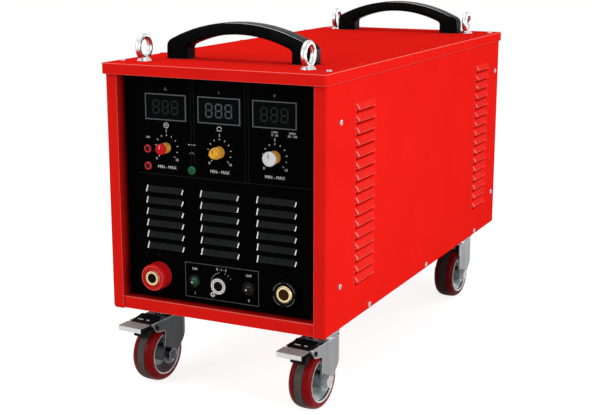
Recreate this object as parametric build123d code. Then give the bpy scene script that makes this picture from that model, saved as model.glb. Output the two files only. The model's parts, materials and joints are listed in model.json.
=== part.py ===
from build123d import *
import os
from math import asin, cos, radians, sin, sqrt

# Stud welding power source: a sheet-steel cabinet that rolls on four swivel casters.
# Millimetres, +Z up, the control panel faces -Y. Every piece is drawn with the front
# of the cabinet at Y = 0 and the floor at Z = 0. The last section moves the pieces so
# that the origin is at the bottom centre of the whole machine.

margin = 1.0  # cutters run this far past the faces they cut

# Cabinet shell
body_width = 400.0
body_depth = 890.0
body_height = 418.0  # underside of the tray to the top of the lid
sheet = 1.5
bend_radius = 3.0
bottom_bend_radius = 6.0
bottom_return = 8.0  # lip of each side panel under the tray
post_width = 21.0  # red posts beside the recessed front and rear plates
panel_recess = 24.0
panel_sheet = 2.0
panel_flange = 14.0  # lip behind the plates, on the jambs of the posts
panel_gap = 0.3
panel_drop = 185.0  # lid top to the seam between the two front plates
rail_height = 21.0
rail_setback = 3.0
tray_gap = 0.25

# Lid
lid_flange = 18.0
lid_side_overhang = 3.0
lid_front_overhang = 8.0
lid_rear_overhang = 7.0
lid_corner_radius = 6.0
lid_edge_radius = 2.0
lid_hardware_offset = -6.0  # handles and eyes stand a little left of the middle

# Louvres: wedge-shaped hoods pressed outwards, open at the bottom
louvre_wall = 1.0
louvre_lip = 0.5  # the slot runs this far below the lip of its hood
side_louvre_length = 80.0
side_louvre_height = 12.0
side_louvre_depth = 5.0
side_louvre_taper = 4.0
side_louvre_pitch = 19.1  # about this far apart, in whole rows
side_louvre_drop = 56.3  # lid top to the top of each column
side_louvre_bottom = 63.2  # tray underside to the lowest lip
side_louvre_front = 151.0  # middle of the front column from the front face
side_louvre_rear = 119.0  # middle of the rear column from the rear face
front_louvre_length = 72.0
front_louvre_height = 10.5
front_louvre_depth = 6.0
front_louvre_taper = 0.8
front_louvre_pitch = 19.5  # about this far apart, in whole rows
front_louvre_drop = 18.7  # seam to the top of each column
front_louvre_bottom = 106.3  # tray underside to the lowest lip
front_louvre_spacing = 104.0

# Cabinet screws: M5 with domed heads
screw_radius = 2.5
screw_head_radius = 4.6
screw_head_height = 2.6
screw_length = 11.0
screw_clearance = 0.25
post_screw_height = 73.0
post_screw_drop = 80.0
post_screw_front = 52.0
post_screw_rear = 28.0
tray_screw_height = 9.0
tray_screw_places = (176.0, 456.0, 752.0)
lid_screw_inset = 12.0
lid_screw_places = (35.0, 156.0, 445.0, 734.0, 855.0)

# Handles: moulded arches
handle_length = 274.0
handle_height = 64.0
handle_depth = 32.0
handle_leg = 39.0
handle_shoulder = 29.0
handle_shoulder_radius = 15.0
handle_clearance = 44.0  # finger height under the crown
handle_spring = 22.0
handle_spring_radius = 8.0
handle_edge_radius = 4.0
handle_front = 114.0
handle_rear = 68.0

# Lifting eyes: M10 ring bolts
eye_ring_outside = 45.0
eye_ring_inside = 25.0
eye_height = 45.0
eye_collar_radius = 12.5
eye_collar_height = 7.0
eye_collar_top_radius = 6.5
eye_shank_radius = 5.0
eye_shank_length = 14.0
eye_spacing = 302.0
eye_front = 52.0
eye_rear = 58.0

# Inner frame: two portals that carry the lifting eyes
bar_width = 40.0
bar_thickness = 12.0
upright_width = 32.0
upright_thickness = 4.0
upright_web = 30.0
frame_gap = 0.3
shank_clearance = 0.3

# Control panel
column_pitch = 100.0
meter_drop = 71.0  # lid top to the middle of the meters
meter_glass_width = 74.5
meter_glass_height = 40.0
meter_glass_thickness = 1.2
meter_rim = 1.6
meter_proud = 1.6
meter_case_inset = 1.0
meter_case_depth = 30.0
meter_gap = 0.2
knob_drop = 138.0
knob_protrusion = 22.0
knob_gap = 0.8
knob_radius = 8.6
knob_cap_radius = 9.0
knob_cap_length = 6.5
time_knob_radius = 9.8
time_nose_radius = 8.2
white_knob_radius = 10.5
white_cap_radius = 11.8
white_cap_length = 4.5
knob_bore_radius = 6.4
knob_bore_depth = 4.5
knob_flutes = 18
knob_flute_radius = 0.8
pot_shaft_radius = 3.0
pot_bushing_radius = 4.8
pot_bushing_proud = 3.4
pot_body_radius = 8.5
pot_body_depth = 12.0
running_gap = 0.05
panel_hole_gap = 0.2
lamp_bezel_height = 2.0
lamp_dome_height = 3.6
lamp_radius = 7.0
lamp_lens_radius = 4.8
lamp_barrel_radius = 5.4
lamp_barrel_length = 18.0
red_lamp_x = -136.0
red_lamp_drops = (142.0, 171.0)
green_lamp_x = -52.0
green_lamp_drop = 172.0

# Lower front plate
switch_height = 58.0
status_lamp_x = 51.0
status_lamp_radius = 10.5
status_lens_radius = 7.8
selector_radius = 15.0
selector_protrusion = 12.0
selector_dish_radius = 8.0
selector_dish_depth = 5.0
selector_lug_reach = 26.0
selector_lug_width = 11.0
selector_lug_thickness = 6.5
selector_lug_angle = 232.0  # where the lug points at rest, from +X towards +Z
switch_body_width = 30.0
switch_body_depth = 34.0

# Output sockets
socket_height = 60.0
positive_socket_inset = 59.0  # from the jamb beside it
negative_socket_inset = 58.0
positive_socket_radius = 23.3
positive_socket_protrusion = 24.0
negative_socket_radius = 22.0
negative_socket_protrusion = 12.0
socket_neck_radius = 18.0
socket_neck_length = 18.0
socket_draft = 0.5
socket_nose_bevel = 3.0
contact_radius = 14.5
contact_gap = 0.1
contact_proud = 0.8
contact_bore_radius = 7.0
contact_bore_depth = 32.0
contact_mouth = 1.5
contact_nut_across = 40.0
contact_nut_thickness = 7.0
contact_stud_radius = 6.0
contact_stud_length = 20.0

# Rear panel
fan_x = 60.0
fan_height = 250.0
fan_size = 150.0
fan_depth = 38.0
fan_bore_radius = 71.0
fan_tip_gap = 1.5
fan_hub_radius = 31.0
fan_motor_depth = 12.0
fan_rotor_depth = 22.0
fan_axial_gap = 1.0
fan_blades = 7
fan_blade_thickness = 2.5
fan_blade_pitch = 38.0
fan_strut_width = 7.0
fan_shaft_radius = 4.0
guard_wire = 2.4
guard_standoff = 3.0
guard_rings = (20.0, 36.0, 52.0, 68.0)
guard_lug_spacing = 130.0
guard_lug_radius = 6.0
gland_x = -95.0
gland_height = 80.0
gland_neck_radius = 16.0
gland_bore_radius = 9.0
gland_hex_across = 36.0
gland_hex_thickness = 8.0
gland_dome_length = 15.0
gland_dome_radius = 16.5
gland_inside_length = 12.0
gland_nut_thickness = 6.0
gland_nut_across = 42.0
gland_lip_wall = 2.0
breaker_x = -95.0
breaker_height = 285.0
breaker_width = 54.0
breaker_body_height = 85.0
breaker_body_depth = 64.0
breaker_nose_height = 45.0
breaker_nose_proud = 5.0
lever_hub_radius = 8.7
lever_hub_gap = 0.5
lever_hub_inset = 3.0
lever_reach = 17.0
lever_thickness = 6.0
lever_tip_thickness = 4.0
lever_width = 46.0
lever_rest_angle = -22.0  # off: the lever points down

# Pieces inside
core_limb = 50.0
core_window_width = 60.0
core_window_height = 150.0
core_depth = 110.0
core_middle = 520.0
coil_build = 26.0
coil_gap = 1.0
coil_end_gap = 3.0
choke_width = 150.0
choke_height = 150.0
choke_depth = 60.0
choke_limb = 40.0
choke_middle = 250.0
choke_coil_build = 12.0
heat_sink_width = 200.0
heat_sink_front = 630.0
heat_sink_length = 160.0
heat_sink_base = 12.0
heat_sink_fin_height = 60.0
heat_sink_fin_thickness = 4.0
heat_sink_fins = 12
module_width = 34.0
module_length = 94.0
module_height = 30.0
module_pitch = 60.0
module_setback = 40.0
board_seam_gap = 12.0
board_bar_gap = 8.0
board_standoff = 12.0
board_thickness = 1.6
standoff_radius = 4.0
standoff_inset = 8.0
board_part_depth = 16.0
busbar_width = 21.0
busbar_thickness = 4.0
busbar_x = 139.0
busbar_height = 22.0
busbar_edge = 7.0  # copper left round the stud hole
busbar_clearance = 0.4

# Casters
wheel_diameter = 100.0
wheel_width = 40.0
wheel_top_gap = 12.0
wheel_side_gap = 2.0
fork_sheet = 3.0
race_height = 16.0
caster_plate_thickness = 4.0
caster_plate_width = 62.0
caster_plate_length = 100.0
caster_bolt_spacing_x = 44.0
caster_bolt_spacing_y = 78.0
caster_bolt_radius = 4.0
caster_bolt_clearance = 0.4
caster_bolt_head_across = 13.0
caster_bolt_head_height = 5.3
caster_nut_height = 6.5
caster_left_inset = 62.0  # kingpins from the left side of the body
caster_right_inset = 40.0  # and from the right side
caster_front = 78.0  # front kingpins from the front face
caster_rear = 117.0  # rear kingpins from the rear face
caster_rest_turn = -4.0
swivel_lead = 36.0  # wheel axle ahead of the kingpin
kingpin_radius = 6.0
kingpin_head_radius = 11.0
kingpin_head_height = 6.0
swivel_gap = 0.3
race_radius = 25.0
race_cap_radius = 28.0
crown_reach = 34.0
wrap_back = 4.0  # middle of the round back of the fork behind the kingpin
fork_foot_drop = 16.0
fork_foot_front = 15.0
fork_foot_back = 13.0
fork_foot_radius = 13.0
fork_neck_front = 10.0
fork_back_drop = 25.0
arm_reach = 47.0
arm_depth = 21.0
arm_tip_depth = 17.0
arm_tip_cut = 12.0  # the lower corner of the tip lies this far back
arm_radius = 2.5
axle_radius = 6.0
axle_head_across = 19.0
axle_head_height = 8.0
axle_nut_height = 9.0
hub_side_gap = 1.0
hub_barrel_radius = 13.0
hub_barrel_flare = 2.0
rim_radius = 37.0
rim_wall = 2.5
rim_inset = 2.0
web_half = 5.0
web_radius = 24.0
tread_half = 7.2  # half width of the flat running band
tread_groove = 1.0
tread_groove_width = 1.2
tread_step = 0.3  # shoulders lie this far below the running band
tyre_shoulder_depth = 9.0
tyre_shoulder_bulge = 2.8
tyre_bead_inset = 1.0

# Brake pedals on the front casters
pedal_pivot_ahead = 32.5  # ahead of the axle
pedal_pivot_drop = 9.5  # below the top of the fork
pedal_sheet = 2.5
pedal_back = 14.0
pedal_back_rise = 5.0
pedal_arm_gap = 2.0  # arms of the fork to the wide part of the toe
pedal_knee_drop = 1.0
pedal_toe = 75.0
pedal_toe_drop = 0.5
pedal_lip = 7.5
pedal_toe_half = 23.0
pedal_side_gap = 1.5
pedal_pin_radius = 2.5
pedal_pin_head_radius = 4.0
pedal_pin_head = 1.2
pedal_ear_radius = 9.0
pedal_rib_count = 4
pedal_rib_radius = 1.0
shoe_half = 14.0
shoe_gap = 4.1  # shoe to tyre with the brake off
shoe_ahead = 40.0
shoe_length = 8.0

# Heights and faces worked out from the sizes above
wheel_radius = wheel_diameter / 2
fork_top = wheel_diameter + wheel_top_gap + fork_sheet
plate_base = fork_top + race_height
tray_base = plate_base + caster_plate_thickness
tray_floor = tray_base + sheet
rail_top = tray_base + rail_height
lid_top = tray_base + body_height
lid_under = lid_top - sheet
seam = lid_top - panel_drop
half_width = body_width / 2
inner_half = half_width - sheet
tray_inside = inner_half - tray_gap - sheet
post_inner = half_width - post_width
panel_front = panel_recess
panel_back = panel_front + panel_sheet
rear_outer = body_depth - panel_recess
rear_inner = rear_outer - panel_sheet
handle_places = (handle_front, body_depth - handle_rear)
eye_rows = (eye_front, body_depth - eye_rear)
eye_columns = (lid_hardware_offset - eye_spacing / 2, lid_hardware_offset + eye_spacing / 2)
post_screw_rows = (post_screw_front, body_depth - post_screw_rear)
post_screw_levels = (tray_base + post_screw_height, lid_top - post_screw_drop)
positive_socket_x = positive_socket_inset - post_inner
negative_socket_x = post_inner - negative_socket_inset
knob_places = {"current": -column_pitch, "time": 0.0, "voltage": column_pitch}
knob_z = lid_top - knob_drop
switch_z = tray_base + switch_height
socket_z = tray_base + socket_height
fan_z = tray_base + fan_height
gland_z = tray_base + gland_height
breaker_z = tray_base + breaker_height
fork_inner = wheel_width / 2 + wheel_side_gap
fork_outer = fork_inner + fork_sheet
pedal_pivot_z = fork_top - pedal_pivot_drop
pedal_knee = arm_reach + pedal_arm_gap
caster_places = {
    "front_left": (caster_left_inset - half_width, caster_front),
    "front_right": (half_width - caster_right_inset, caster_front),
    "rear_left": (caster_left_inset - half_width, body_depth - caster_rear),
    "rear_right": (half_width - caster_right_inset, body_depth - caster_rear),
}


def block(x0, x1, y0, y1, z0, z1):
    """Box between two corners."""
    return Pos(x0, y0, z0) * Box(x1 - x0, y1 - y0, z1 - z0, align=(Align.MIN,) * 3)


def rod_z(radius, z0, z1, x, y):
    """Round bar along Z."""
    bar = Cylinder(radius, z1 - z0, align=(Align.CENTER, Align.CENTER, Align.MIN))
    return Pos(x, y, z0) * bar


def rod_y(radius, y0, y1, x, z):
    """Round bar along Y."""
    return Pos(x, y0, z) * Rot(-90, 0, 0) * rod_z(radius, 0, y1 - y0, 0, 0)


def rod_x(radius, x0, x1, y, z):
    """Round bar along X."""
    return Pos(x0, y, z) * Rot(0, 90, 0) * rod_z(radius, 0, x1 - x0, 0, 0)


def hexagon(across, height):
    """Hexagonal bar along Z from Z = 0, given across its flats."""
    return extrude(RegularPolygon(across / 2, 6, major_radius=False), height)


def turned_y(points, x, z):
    """Solid turned about a Y axis through (x, z), from (radius, y) points."""
    return Pos(x, 0, z) * revolve(Polygon(*points, align=None), Axis.Y)


def turned_x(points):
    """Solid turned about the X axis, from (x, radius) points."""
    return revolve(Polygon(*points, align=None), Axis.X)


def nearest(shape, *places):
    """Vertices of a flat shape that lie nearest to the given places."""
    return [min(shape.vertices(), key=lambda v: (v.X - x) ** 2 + (v.Y - y) ** 2) for x, y in places]


def both_ends(front_piece):
    """A piece at the front of the cabinet and its mirror image at the rear."""
    middle = Plane((0, body_depth / 2, 0), x_dir=(1, 0, 0), z_dir=(0, 1, 0))
    return [front_piece, mirror(front_piece, about=middle)]


def louvre_wedge(profile, length, depth, taper):
    """Prism along X on a (y, z) profile, with its ends cut back towards the lip."""
    prism = extrude(Plane.YZ * Polygon(*profile, align=None), length / 2, both=True)
    low = min(z for y, z in profile)
    reach = max(y for y, z in profile)
    end = length / 2
    plan = Polygon((-end, reach), (-end, 0), (taper - end, -depth), (end - taper, -depth), (end, 0),
                   (end, reach), align=None)
    return prism & (Pos(0, 0, low) * extrude(plan, -low))


def louvre(length, height, depth, taper, wall):
    """One louvre that faces -Y, top edge at the origin: its hood, and what hollows it."""
    root = wall / 2
    hood = louvre_wedge(((root, 0), (0, 0), (-depth, -height), (root, -height)), length, depth, taper)
    drop = louvre_wall * sqrt(depth**2 + height**2) / depth
    floor = -height - louvre_lip
    inner_lip = depth * (height + louvre_lip - drop) / height
    back = 2 * wall
    hollow = louvre_wedge(((back, -drop), (0, -drop), (-inner_lip, floor), (back, floor)),
                          length - 2 * louvre_wall, depth, taper)
    return hood, hollow


def louvre_tops(top, bottom, height, pitch):
    """Heights of the top edges of a louvre column that fills the space from top to bottom."""
    span = top - bottom - height
    gaps = round(span / pitch)
    return [top - step * span / gaps for step in range(gaps + 1)]


def cabinet_screw():
    """Domed screw along Z with its seat at the origin, head upwards."""
    head = rod_z(screw_head_radius, 0, screw_head_height, 0, 0)
    head = fillet(head.edges().sort_by(Axis.Z)[-1], screw_head_height / 2)
    return head + rod_z(screw_radius, -screw_length, 0, 0, 0)


def screw_seats():
    """Where each cabinet screw sits, as locations with Z along the screw."""
    seats = []
    for side in (-1, 1):
        turn = Rot(0, 90 * side, 0)
        for y in post_screw_rows:
            seats += [Pos(side * half_width, y, z) * turn for z in post_screw_levels]
        seats += [Pos(side * half_width, y, tray_base + tray_screw_height) * turn
                  for y in tray_screw_places]
        seats += [Pos(side * (half_width - lid_screw_inset), y, lid_top) for y in lid_screw_places]
    return seats


def screw_holes():
    """Clearance holes along every cabinet screw."""
    hole = rod_z(screw_radius + screw_clearance, -screw_length - margin, margin, 0, 0)
    return [seat * hole for seat in screw_seats()]


def caster_bolt_spots():
    """Middle of every caster bolt in plan."""
    spots = []
    for x, y in caster_places.values():
        for step_x in (-caster_bolt_spacing_x / 2, caster_bolt_spacing_x / 2):
            for step_y in (-caster_bolt_spacing_y / 2, caster_bolt_spacing_y / 2):
                spots.append((x + step_x, y + step_y))
    return spots


def bent_box(x0, x1, y0, y1, z0, z1, low_radius, upright_radius):
    """Box with its lower +X edge and its two +X uprights rounded."""
    box = block(x0, x1, y0, y1, z0, z1)
    lower = box.edges().filter_by(Axis.Y).group_by(Axis.X)[-1].sort_by(Axis.Z)[0]
    box = fillet(lower, low_radius)
    return fillet(box.edges().filter_by(Axis.Z).group_by(Axis.X)[-1], upright_radius)


def side_panel():
    """Right side sheet: returns on all edges, jambs beside the plates, louvre columns."""
    low = tray_base - sheet
    panel = bent_box(post_inner, half_width, 0, body_depth, low, lid_under,
                     bottom_bend_radius, bend_radius)
    panel -= bent_box(post_inner - margin, inner_half, sheet, body_depth - sheet, tray_base,
                      lid_under - sheet, bottom_bend_radius - sheet, bend_radius - sheet)
    panel -= block(post_inner - margin, half_width - bottom_return, sheet, body_depth - sheet,
                   low - margin, tray_base)
    jamb = block(post_inner, post_inner + sheet, 0, panel_back + sheet, rail_top, lid_under)
    jamb += block(post_inner - panel_flange, post_inner + sheet, panel_back, panel_back + sheet,
                  rail_top, lid_under)
    panel += both_ends(jamb)
    hood, hollow = louvre(side_louvre_length, side_louvre_height, side_louvre_depth, side_louvre_taper, sheet)
    tops = louvre_tops(lid_top - side_louvre_drop, tray_base + side_louvre_bottom, side_louvre_height,
                       side_louvre_pitch)
    spots = [Pos(half_width, y, z) * Rot(0, 0, 90)
             for y in (side_louvre_front, body_depth - side_louvre_rear) for z in tops]
    panel += [spot * hood for spot in spots]
    panel -= [spot * hollow for spot in spots]
    return panel - screw_holes()


def base_tray():
    """Folded tray: its front flange is the red rail under the front plates."""
    edge = inner_half - tray_gap
    corner = bottom_bend_radius - sheet
    outer = block(-edge, edge, rail_setback, body_depth - rail_setback, tray_base, rail_top)
    outer = fillet(outer.edges().filter_by(Axis.Y).group_by(Axis.Z)[0], corner)
    inner = block(sheet - edge, edge - sheet, rail_setback + sheet,
                  body_depth - rail_setback - sheet, tray_floor, rail_top + margin)
    inner = fillet(inner.edges().filter_by(Axis.Y).group_by(Axis.Z)[0], corner - sheet)
    tray = outer - inner
    ledge = block(sheet / 2 - edge, edge - sheet / 2, rail_setback + sheet / 2,
                  panel_back + 2 * sheet, rail_top - sheet, rail_top)
    tray += both_ends(ledge)
    bolt_hole = caster_bolt_radius + caster_bolt_clearance
    tray -= [rod_z(bolt_hole, tray_base - margin, tray_floor + margin, x, y) for x, y in caster_bolt_spots()]
    return tray - screw_holes()


def top_cover():
    """Lid: one folded sheet with rounded corners and a flange all round."""
    edge = half_width + lid_side_overhang
    front = -lid_front_overhang
    rear = body_depth + lid_rear_overhang
    outer = block(-edge, edge, front, rear, lid_top - lid_flange, lid_top)
    outer = fillet(outer.edges().filter_by(Axis.Z), lid_corner_radius)
    outer = fillet(outer.faces().sort_by(Axis.Z)[-1].edges(), lid_edge_radius)
    inner = block(sheet - edge, edge - sheet, front + sheet, rear - sheet,
                  lid_top - lid_flange - margin, lid_under)
    inner = fillet(inner.edges().filter_by(Axis.Z), lid_corner_radius - sheet)
    lid = outer - inner
    shank_hole = eye_shank_radius + shank_clearance
    lid -= [rod_z(shank_hole, lid_under - margin, lid_top + margin, x, y)
            for x in eye_columns for y in eye_rows]
    return lid - screw_holes()


def inner_frame():
    """Two portals under the lid: a crossbar with pads for the eyes, on two angle posts."""
    reach = inner_half - frame_gap
    bar_top = lid_under - sheet
    bar_low = bar_top - bar_thickness
    portals = []
    for eye_y, post_y, inward in zip(eye_rows, post_screw_rows, (1, -1)):
        portal = block(-reach, reach, eye_y - bar_width / 2, eye_y + bar_width / 2, bar_low, bar_top)
        portal += [rod_z(eye_collar_radius, bar_top, lid_under, x, eye_y) for x in eye_columns]
        web_y = post_y + inward * (upright_width - upright_thickness) / 2
        web_end = tray_inside - frame_gap
        foot = tray_floor + bottom_bend_radius
        for side in (-1, 1):
            flat = Pos(side * (reach - upright_thickness / 2), post_y, 0) * block(
                -upright_thickness / 2, upright_thickness / 2, -upright_width / 2,
                upright_width / 2, rail_top, bar_top)
            web = Pos(side * (web_end - upright_web / 2), web_y, 0) * block(
                -upright_web / 2, upright_web / 2, -upright_thickness / 2,
                upright_thickness / 2, foot, bar_top)
            toe = Pos(side * (web_end - upright_web / 2 - bottom_bend_radius), web_y, 0) * block(
                bottom_bend_radius - upright_web / 2, upright_web / 2 - bottom_bend_radius,
                -upright_thickness / 2, upright_thickness / 2, tray_floor, foot)
            portal += [flat, web, toe]
        shank_hole = eye_shank_radius + shank_clearance
        portal -= [rod_z(shank_hole, bar_low - margin, lid_under + margin, x, eye_y) for x in eye_columns]
        portals.append(portal - screw_holes())
    return portals


def handle(y):
    """Moulded arch: an upright profile pushed across its depth, with soft edges."""
    end = handle_length / 2
    gap = end - handle_leg
    outline = [
        Line((-end, 0), (-end, handle_shoulder)),
        ThreePointArc((-end, handle_shoulder), (0, handle_height), (end, handle_shoulder)),
        Polyline((end, handle_shoulder), (end, 0), (gap, 0), (gap, handle_spring)),
        ThreePointArc((gap, handle_spring), (0, handle_clearance), (-gap, handle_spring)),
        Polyline((-gap, handle_spring), (-gap, 0), (-end, 0)),
    ]
    face = make_face(outline)
    face = fillet(nearest(face, (-end, handle_shoulder), (end, handle_shoulder)), handle_shoulder_radius)
    face = fillet(nearest(face, (-gap, handle_spring), (gap, handle_spring)), handle_spring_radius)
    arch = extrude(Plane.XZ * face, handle_depth / 2, both=True)
    sides = arch.faces().filter_by(Axis.Y)
    rims = [edge for side in sides for edge in side.edges() if edge.center().Z > handle_edge_radius]
    return Pos(lid_hardware_offset, y, lid_top) * fillet(rims, handle_edge_radius)


def lifting_eye(x, y):
    """Ring bolt with its ring across X, collar on the lid and shank in the crossbar."""
    section = (eye_ring_outside - eye_ring_inside) / 4
    middle = eye_height - eye_ring_outside / 2
    ring = Pos(0, 0, middle) * Rot(0, 90, 0) * Torus(eye_ring_outside / 2 - section, section)
    collar = Cone(eye_collar_radius, eye_collar_top_radius, eye_collar_height,
                  align=(Align.CENTER, Align.CENTER, Align.MIN))
    shank = rod_z(eye_shank_radius, -eye_shank_length, 0, 0, 0)
    return Pos(x, y, lid_top) * (ring + collar + shank)


def meter_place(column):
    """Middle of a meter in X and Z."""
    return column * column_pitch, lid_top - meter_drop


def control_panel():
    """Upper front plate with cut-outs for the meters, knobs and small lamps."""
    edge = post_inner - panel_gap
    plate = block(-edge, edge, panel_front, panel_back, seam, lid_under - panel_gap)
    wide = meter_glass_width / 2 - meter_case_inset + panel_hole_gap
    tall = meter_glass_height / 2 - meter_case_inset + panel_hole_gap
    for column in (-1, 0, 1):
        x, z = meter_place(column)
        plate -= block(x - wide, x + wide, panel_front - margin, panel_back + margin, z - tall, z + tall)
    for x in knob_places.values():
        plate -= rod_y(pot_bushing_radius + panel_hole_gap, panel_front - margin, panel_back + margin,
                       x, knob_z)
    for x, z in small_lamp_places():
        plate -= rod_y(lamp_barrel_radius + panel_hole_gap, panel_front - margin, panel_back + margin, x, z)
    return plate


def small_lamp_places():
    """Middles of the red lamps and then the green lamp of the control panel."""
    red = [(red_lamp_x, lid_top - drop) for drop in red_lamp_drops]
    return red + [(green_lamp_x, lid_top - green_lamp_drop)]


def louvre_panel():
    """Lower front plate: three louvre columns, sockets, status lamps and the selector."""
    edge = post_inner - panel_gap
    plate = block(-edge, edge, panel_front, panel_back, rail_top, seam - panel_gap)
    hood, hollow = louvre(front_louvre_length, front_louvre_height, front_louvre_depth, front_louvre_taper,
                          panel_sheet)
    tops = louvre_tops(seam - front_louvre_drop, tray_base + front_louvre_bottom, front_louvre_height,
                       front_louvre_pitch)
    spots = [Pos(column * front_louvre_spacing, panel_front, z) for column in (-1, 0, 1) for z in tops]
    plate += [spot * hood for spot in spots]
    plate -= [spot * hollow for spot in spots]
    holes = [(socket_neck_radius, positive_socket_x, socket_z),
             (socket_neck_radius, negative_socket_x, socket_z),
             (lamp_barrel_radius, -status_lamp_x, switch_z),
             (lamp_barrel_radius, status_lamp_x, switch_z),
             (pot_bushing_radius, 0, switch_z)]
    return plate - [rod_y(radius + panel_hole_gap, panel_front - margin, panel_back + margin, x, z)
                    for radius, x, z in holes]


def rear_panel():
    """Rear plate with the fan opening and holes for the gland and the breaker nose."""
    edge = post_inner - panel_gap
    plate = block(-edge, edge, rear_inner, rear_outer, rail_top, lid_under - panel_gap)
    plate -= rod_y(fan_bore_radius, rear_inner - margin, rear_outer + margin, fan_x, fan_z)
    plate -= rod_y(gland_neck_radius + panel_hole_gap, rear_inner - margin, rear_outer + margin,
                   gland_x, gland_z)
    wide = breaker_width / 2 + panel_hole_gap
    tall = breaker_nose_height / 2 + panel_hole_gap
    return plate - block(breaker_x - wide, breaker_x + wide, rear_inner - margin, rear_outer + margin,
                         breaker_z - tall, breaker_z + tall)


def meter_housing(column):
    """Meter case: thin rim on the plate, case behind it, and a seat for the window."""
    x, z = meter_place(column)
    wide = meter_glass_width / 2
    tall = meter_glass_height / 2
    front = panel_front - meter_proud
    rim = block(x - wide - meter_rim, x + wide + meter_rim, front, panel_front,
                z - tall - meter_rim, z + tall + meter_rim)
    case_wide = wide - meter_case_inset
    case_tall = tall - meter_case_inset
    case = block(x - case_wide, x + case_wide, panel_front, panel_front + meter_case_depth,
                 z - case_tall, z + case_tall)
    seat = block(x - wide, x + wide, front - margin, front + meter_glass_thickness + meter_gap,
                 z - tall, z + tall)
    return rim + case - seat


def meter_window(column):
    """Flat window that lies in the seat of its meter housing."""
    x, z = meter_place(column)
    wide = meter_glass_width / 2 - meter_gap
    tall = meter_glass_height / 2 - meter_gap
    back = panel_front - meter_proud + meter_glass_thickness + meter_gap
    return block(x - wide, x + wide, back - meter_glass_thickness, back, z - tall, z + tall)


def fluted(solid, radius, y0, y1):
    """Grip flutes cut along a knob that turns about the Y axis."""
    flutes = []
    for step in range(knob_flutes):
        angle = radians(360 * step / knob_flutes)
        flutes.append(rod_y(knob_flute_radius, y0, y1, radius * cos(angle), radius * sin(angle)))
    return solid - flutes


def knob(name, radius, front):
    """Knob on its shaft: a fluted barrel from the plate to `front`, hollow at the back."""
    x = knob_places[name]
    back = panel_front - knob_gap
    edge = knob_flute_radius
    barrel = turned_y(((0, front), (radius - edge, front), (radius, front + edge), (radius, back),
                       (knob_bore_radius, back), (knob_bore_radius, back - knob_bore_depth),
                       (0, back - knob_bore_depth)), 0, 0)
    barrel = fluted(barrel, radius, front - margin, back - knob_bore_depth)
    shaft_end = panel_back + pot_body_depth / 2
    shaft = rod_y(pot_shaft_radius, back - knob_bore_depth, shaft_end, 0, 0)
    return Pos(x, 0, knob_z) * (barrel + shaft)


def knob_cap(name, radius, back):
    """Smooth cap on the front of a knob, with a raised pointer bar across its face."""
    front = panel_front - knob_protrusion
    dome = knob_flute_radius * 2
    cap = turned_y(((0, front), (radius - dome, front), (radius, front + dome), (radius, back),
                    (0, back)), 0, 0)
    pointer = block(-knob_flute_radius, knob_flute_radius, front - knob_flute_radius, front + dome,
                    0, radius - dome)
    return Pos(knob_places[name], 0, knob_z) * (cap + pointer)


def bushing(x, z):
    """Threaded bushing through a front plate and the bore for a knob shaft."""
    neck = rod_y(pot_bushing_radius, panel_front - pot_bushing_proud, panel_back + margin, x, z)
    bore = rod_y(pot_shaft_radius + running_gap, panel_front - pot_bushing_proud - margin,
                 panel_back + pot_body_depth / 2 + knob_gap, x, z)
    return neck, bore


def potentiometer(x):
    """Round potentiometer behind the plate with its bushing."""
    neck, bore = bushing(x, knob_z)
    return rod_y(pot_body_radius, panel_back, panel_back + pot_body_depth, x, knob_z) + neck - bore


def lamp(x, z, bezel, lens):
    """Indicator lamp: bezel on the plate, domed lens, barrel through the plate."""
    front = panel_front - lamp_bezel_height
    bevel = lamp_bezel_height / 2
    end = panel_back + lamp_barrel_length
    crown = front - lamp_dome_height
    dome_radius = (lens**2 + lamp_dome_height**2) / (2 * lamp_dome_height)
    half_way = asin(lens / dome_radius) / 2
    middle = (dome_radius * sin(half_way), crown + dome_radius * (1 - cos(half_way)))
    outline = [
        ThreePointArc((lens, front), middle, (0, crown)),
        Polyline((0, crown), (0, end), (lamp_barrel_radius, end),
                 (lamp_barrel_radius, panel_front), (bezel, panel_front), (bezel, front + bevel),
                 (bezel - bevel, front), (lens, front)),
    ]
    return Pos(x, 0, z) * revolve(make_face(outline), Axis.Y)


def socket_body(x, radius, protrusion):
    """Insulating socket collar with its neck through the lower plate."""
    front = panel_front - protrusion
    nose = socket_nose_bevel
    bore = contact_radius + contact_gap
    end = panel_back + socket_neck_length
    return turned_y(((bore, front), (radius - nose, front), (radius - socket_draft, front + nose),
                     (radius, panel_front), (socket_neck_radius, panel_front),
                     (socket_neck_radius, end), (bore, end)), x, socket_z)


def socket_contact(x, protrusion):
    """Brass contact: sleeve with a blind bore, clamping nut and stud for the busbar."""
    front = panel_front - protrusion - contact_proud
    nut = panel_back + socket_neck_length
    stud = nut + contact_nut_thickness
    sleeve = turned_y(((0, front), (contact_radius - contact_mouth, front),
                       (contact_radius, front + contact_mouth), (contact_radius, nut), (0, nut)),
                      x, socket_z)
    sleeve += Pos(x, nut, socket_z) * Rot(-90, 0, 0) * hexagon(contact_nut_across, contact_nut_thickness)
    sleeve += rod_y(contact_stud_radius, stud, stud + contact_stud_length, x, socket_z)
    wide = contact_bore_radius + contact_mouth
    bottom = front + contact_bore_depth
    return sleeve - turned_y(((0, front - margin), (wide, front - margin), (wide, front),
                              (contact_bore_radius, front + contact_mouth),
                              (contact_bore_radius, bottom), (0, bottom)), x, socket_z)


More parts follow.
